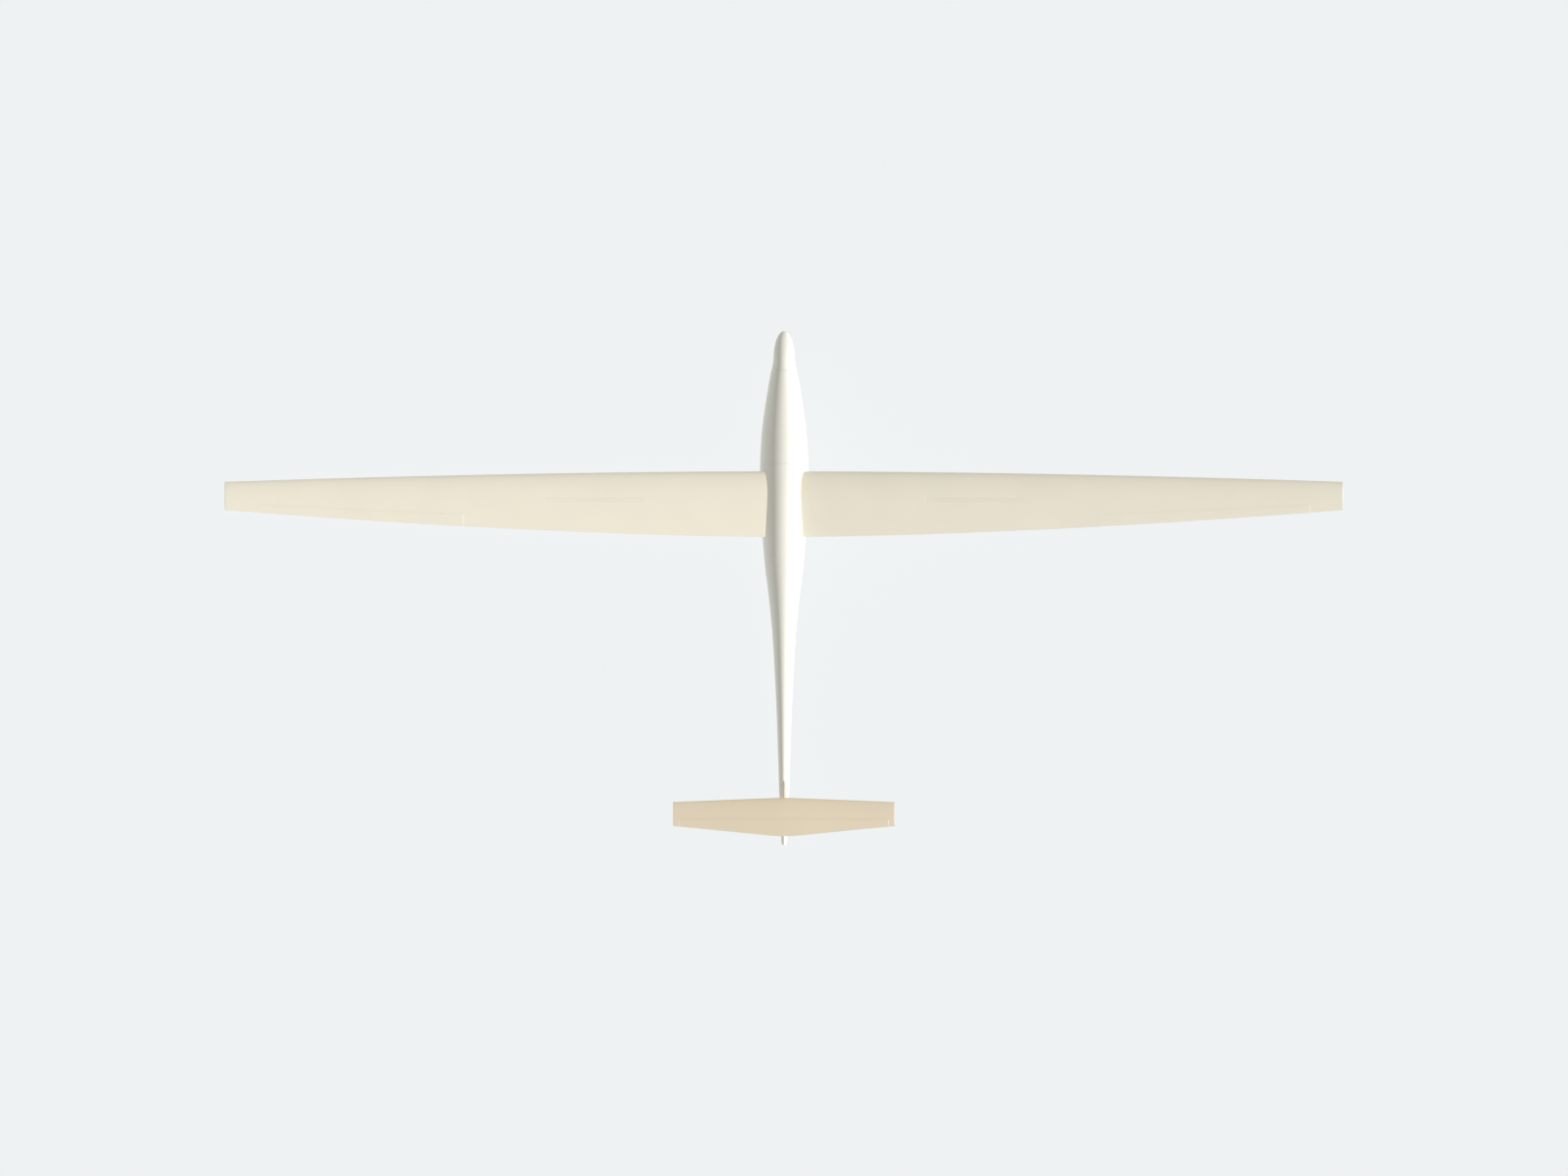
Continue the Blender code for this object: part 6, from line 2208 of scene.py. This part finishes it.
@dataclass(frozen=True)
class Studio:
    """Camera square to the aircraft's own plan, a pale floor, and light from the aircraft's right.

    The picture is 21.03 m wide and centred where the photograph is. The key light stands 30 degrees above the
    wing's plane on the right, a little behind, and casts no shadow, as none shows in the photograph.
    """

    picture_width: float = 21.03
    camera_reach: float = 200.0
    middle_station: float = 3.444
    middle_x: float = 0.0
    camera_height: float = 40.0
    backdrop: Triple = (0.847, 0.880, 0.888)
    backdrop_strength: float = 0.880
    floor_grey: float = 0.10
    floor_half: float = 60.0
    floor_level: float = -0.0005
    sky_strength: float = 0.41
    key_strength: float = 3.7
    key_elevation: float = 30.0
    key_behind: float = 10.0
    key_angle: float = 2.0

    def camera(self, axes: AircraftAxes) -> None:
        """Camera above the aircraft, square to its plan and without perspective, its up side towards the nose.

        Args:
            axes: Where the aircraft's axes lie.
        """
        data = bpy.data.cameras.new("plan_camera")
        data.type = "ORTHO"
        data.ortho_scale = self.picture_width
        data.clip_start, data.clip_end = 1.0, self.camera_reach
        item = linked("plan_camera", data)
        place = (self.middle_x, -self.middle_station, self.camera_height)
        item.matrix_world = axes.matrix() @ Matrix.Translation(place)
        bpy.context.scene.camera = item

    def floor(self) -> None:
        """Pale level floor under the wheels, lit mostly by itself so that it stays even."""
        span = np.linspace(-self.floor_half, self.floor_half, 5)
        mesh = bpy.data.meshes.new("studio_floor")
        net = xyz(span[:, None], span, self.floor_level)
        mesh.from_pydata(net.reshape(-1, 3), [], quads(5, 5)[:, ::-1].tolist())
        material = bpy.data.materials.new("studio_floor")
        material.use_nodes = True
        feed(material.node_tree, material.node_tree.nodes["Principled BSDF"], {
            "Base Color": (*[self.floor_grey] * 3, 1), "Roughness": 1.0, "Specular IOR Level": 0.0,
            "Emission Color": (*self.backdrop, 1), "Emission Strength": self.backdrop_strength,
        })
        mesh.materials.append(material)
        item = linked("studio_floor", mesh)

    def sun(self, axes: AircraftAxes) -> None:
        """Broad parallel light from the right, a little behind.

        Args:
            axes: Where the aircraft's axes lie.
        """
        data = bpy.data.lights.new("key_light", "SUN")
        data.energy = self.key_strength
        data.angle = math.radians(self.key_angle)
        data.use_shadow = False
        a, e = math.radians(-self.key_behind), math.radians(self.key_elevation)
        towards = axes.turn @ np.array([math.cos(e) * math.cos(a), math.cos(e) * math.sin(a), math.sin(e)])
        linked("key_light", data).matrix_world = Vector(towards).to_track_quat("Z", "Y").to_matrix().to_4x4()

    def build(self, axes: AircraftAxes) -> None:
        """Sets up the camera, the floor, the sky and the light.

        Args:
            axes: Where the aircraft's axes lie.
        """
        scene = bpy.context.scene
        world = bpy.data.worlds.new("studio_sky")
        world.use_nodes = True
        sky = {"Color": (1.0, 1.0, 1.0, 1), "Strength": self.sky_strength}
        feed(world.node_tree, world.node_tree.nodes["Background"], sky)
        scene.world = world
        scene.view_settings.view_transform = "Standard"
        scene.view_settings.look = "None"
        self.camera(axes)
        self.floor()
        self.sun(axes)


def main() -> None:
    """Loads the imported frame, builds every sub-assembly on it and sets up the studio."""
    logging.basicConfig(level=logging.INFO, format="%(name)s: %(message)s")
    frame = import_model()
    finishes = Finishes()
    wells = (
        WellSize(front=1.90, rear=2.34, half_width=0.092, top=-0.135),
        WellSize(front=6.235, rear=6.465, half_width=0.034, top=0.018),
    )
    main_wheel = Wheel(
        "main", "main_wheel", finishes, station=2.12, height=-0.345, radius=0.1782, half_width=0.062, rim=0.085,
        axle_radius=0.012, leg_wall=0.011, well=wells[0], grooves=(0.0, 0.017, 0.034), bolts=8,
    )
    tail_wheel = Wheel(
        "tail", "tail_wheel", finishes, station=6.35, height=-0.095, radius=0.0995, half_width=0.024, rim=0.055,
        axle_radius=0.0075, leg_wall=0.004, well=wells[1], grooves=(0.007,), bolts=5,
    )
    axes = AircraftAxes.from_record(frame["record"], main_wheel.centre)
    shop = Workshop(axes, frame["nodes"])
    fuselage = Fuselage(finishes)
    fuselage.build(shop, wells)
    for side in Side:
        Wing(side, fuselage.form, finishes).build(shop)
    Tail(fuselage.form, finishes).build(shop)
    for wheel in (main_wheel, tail_wheel):
        wheel.build(shop)
    shop.repaint(finishes.steel, "tow_hook")
    Cockpit(fuselage.form, finishes).build(shop)
    Studio().build(axes)
    LOG.info("%d pieces made", shop.made)


if __name__ == "__main__":
    main()
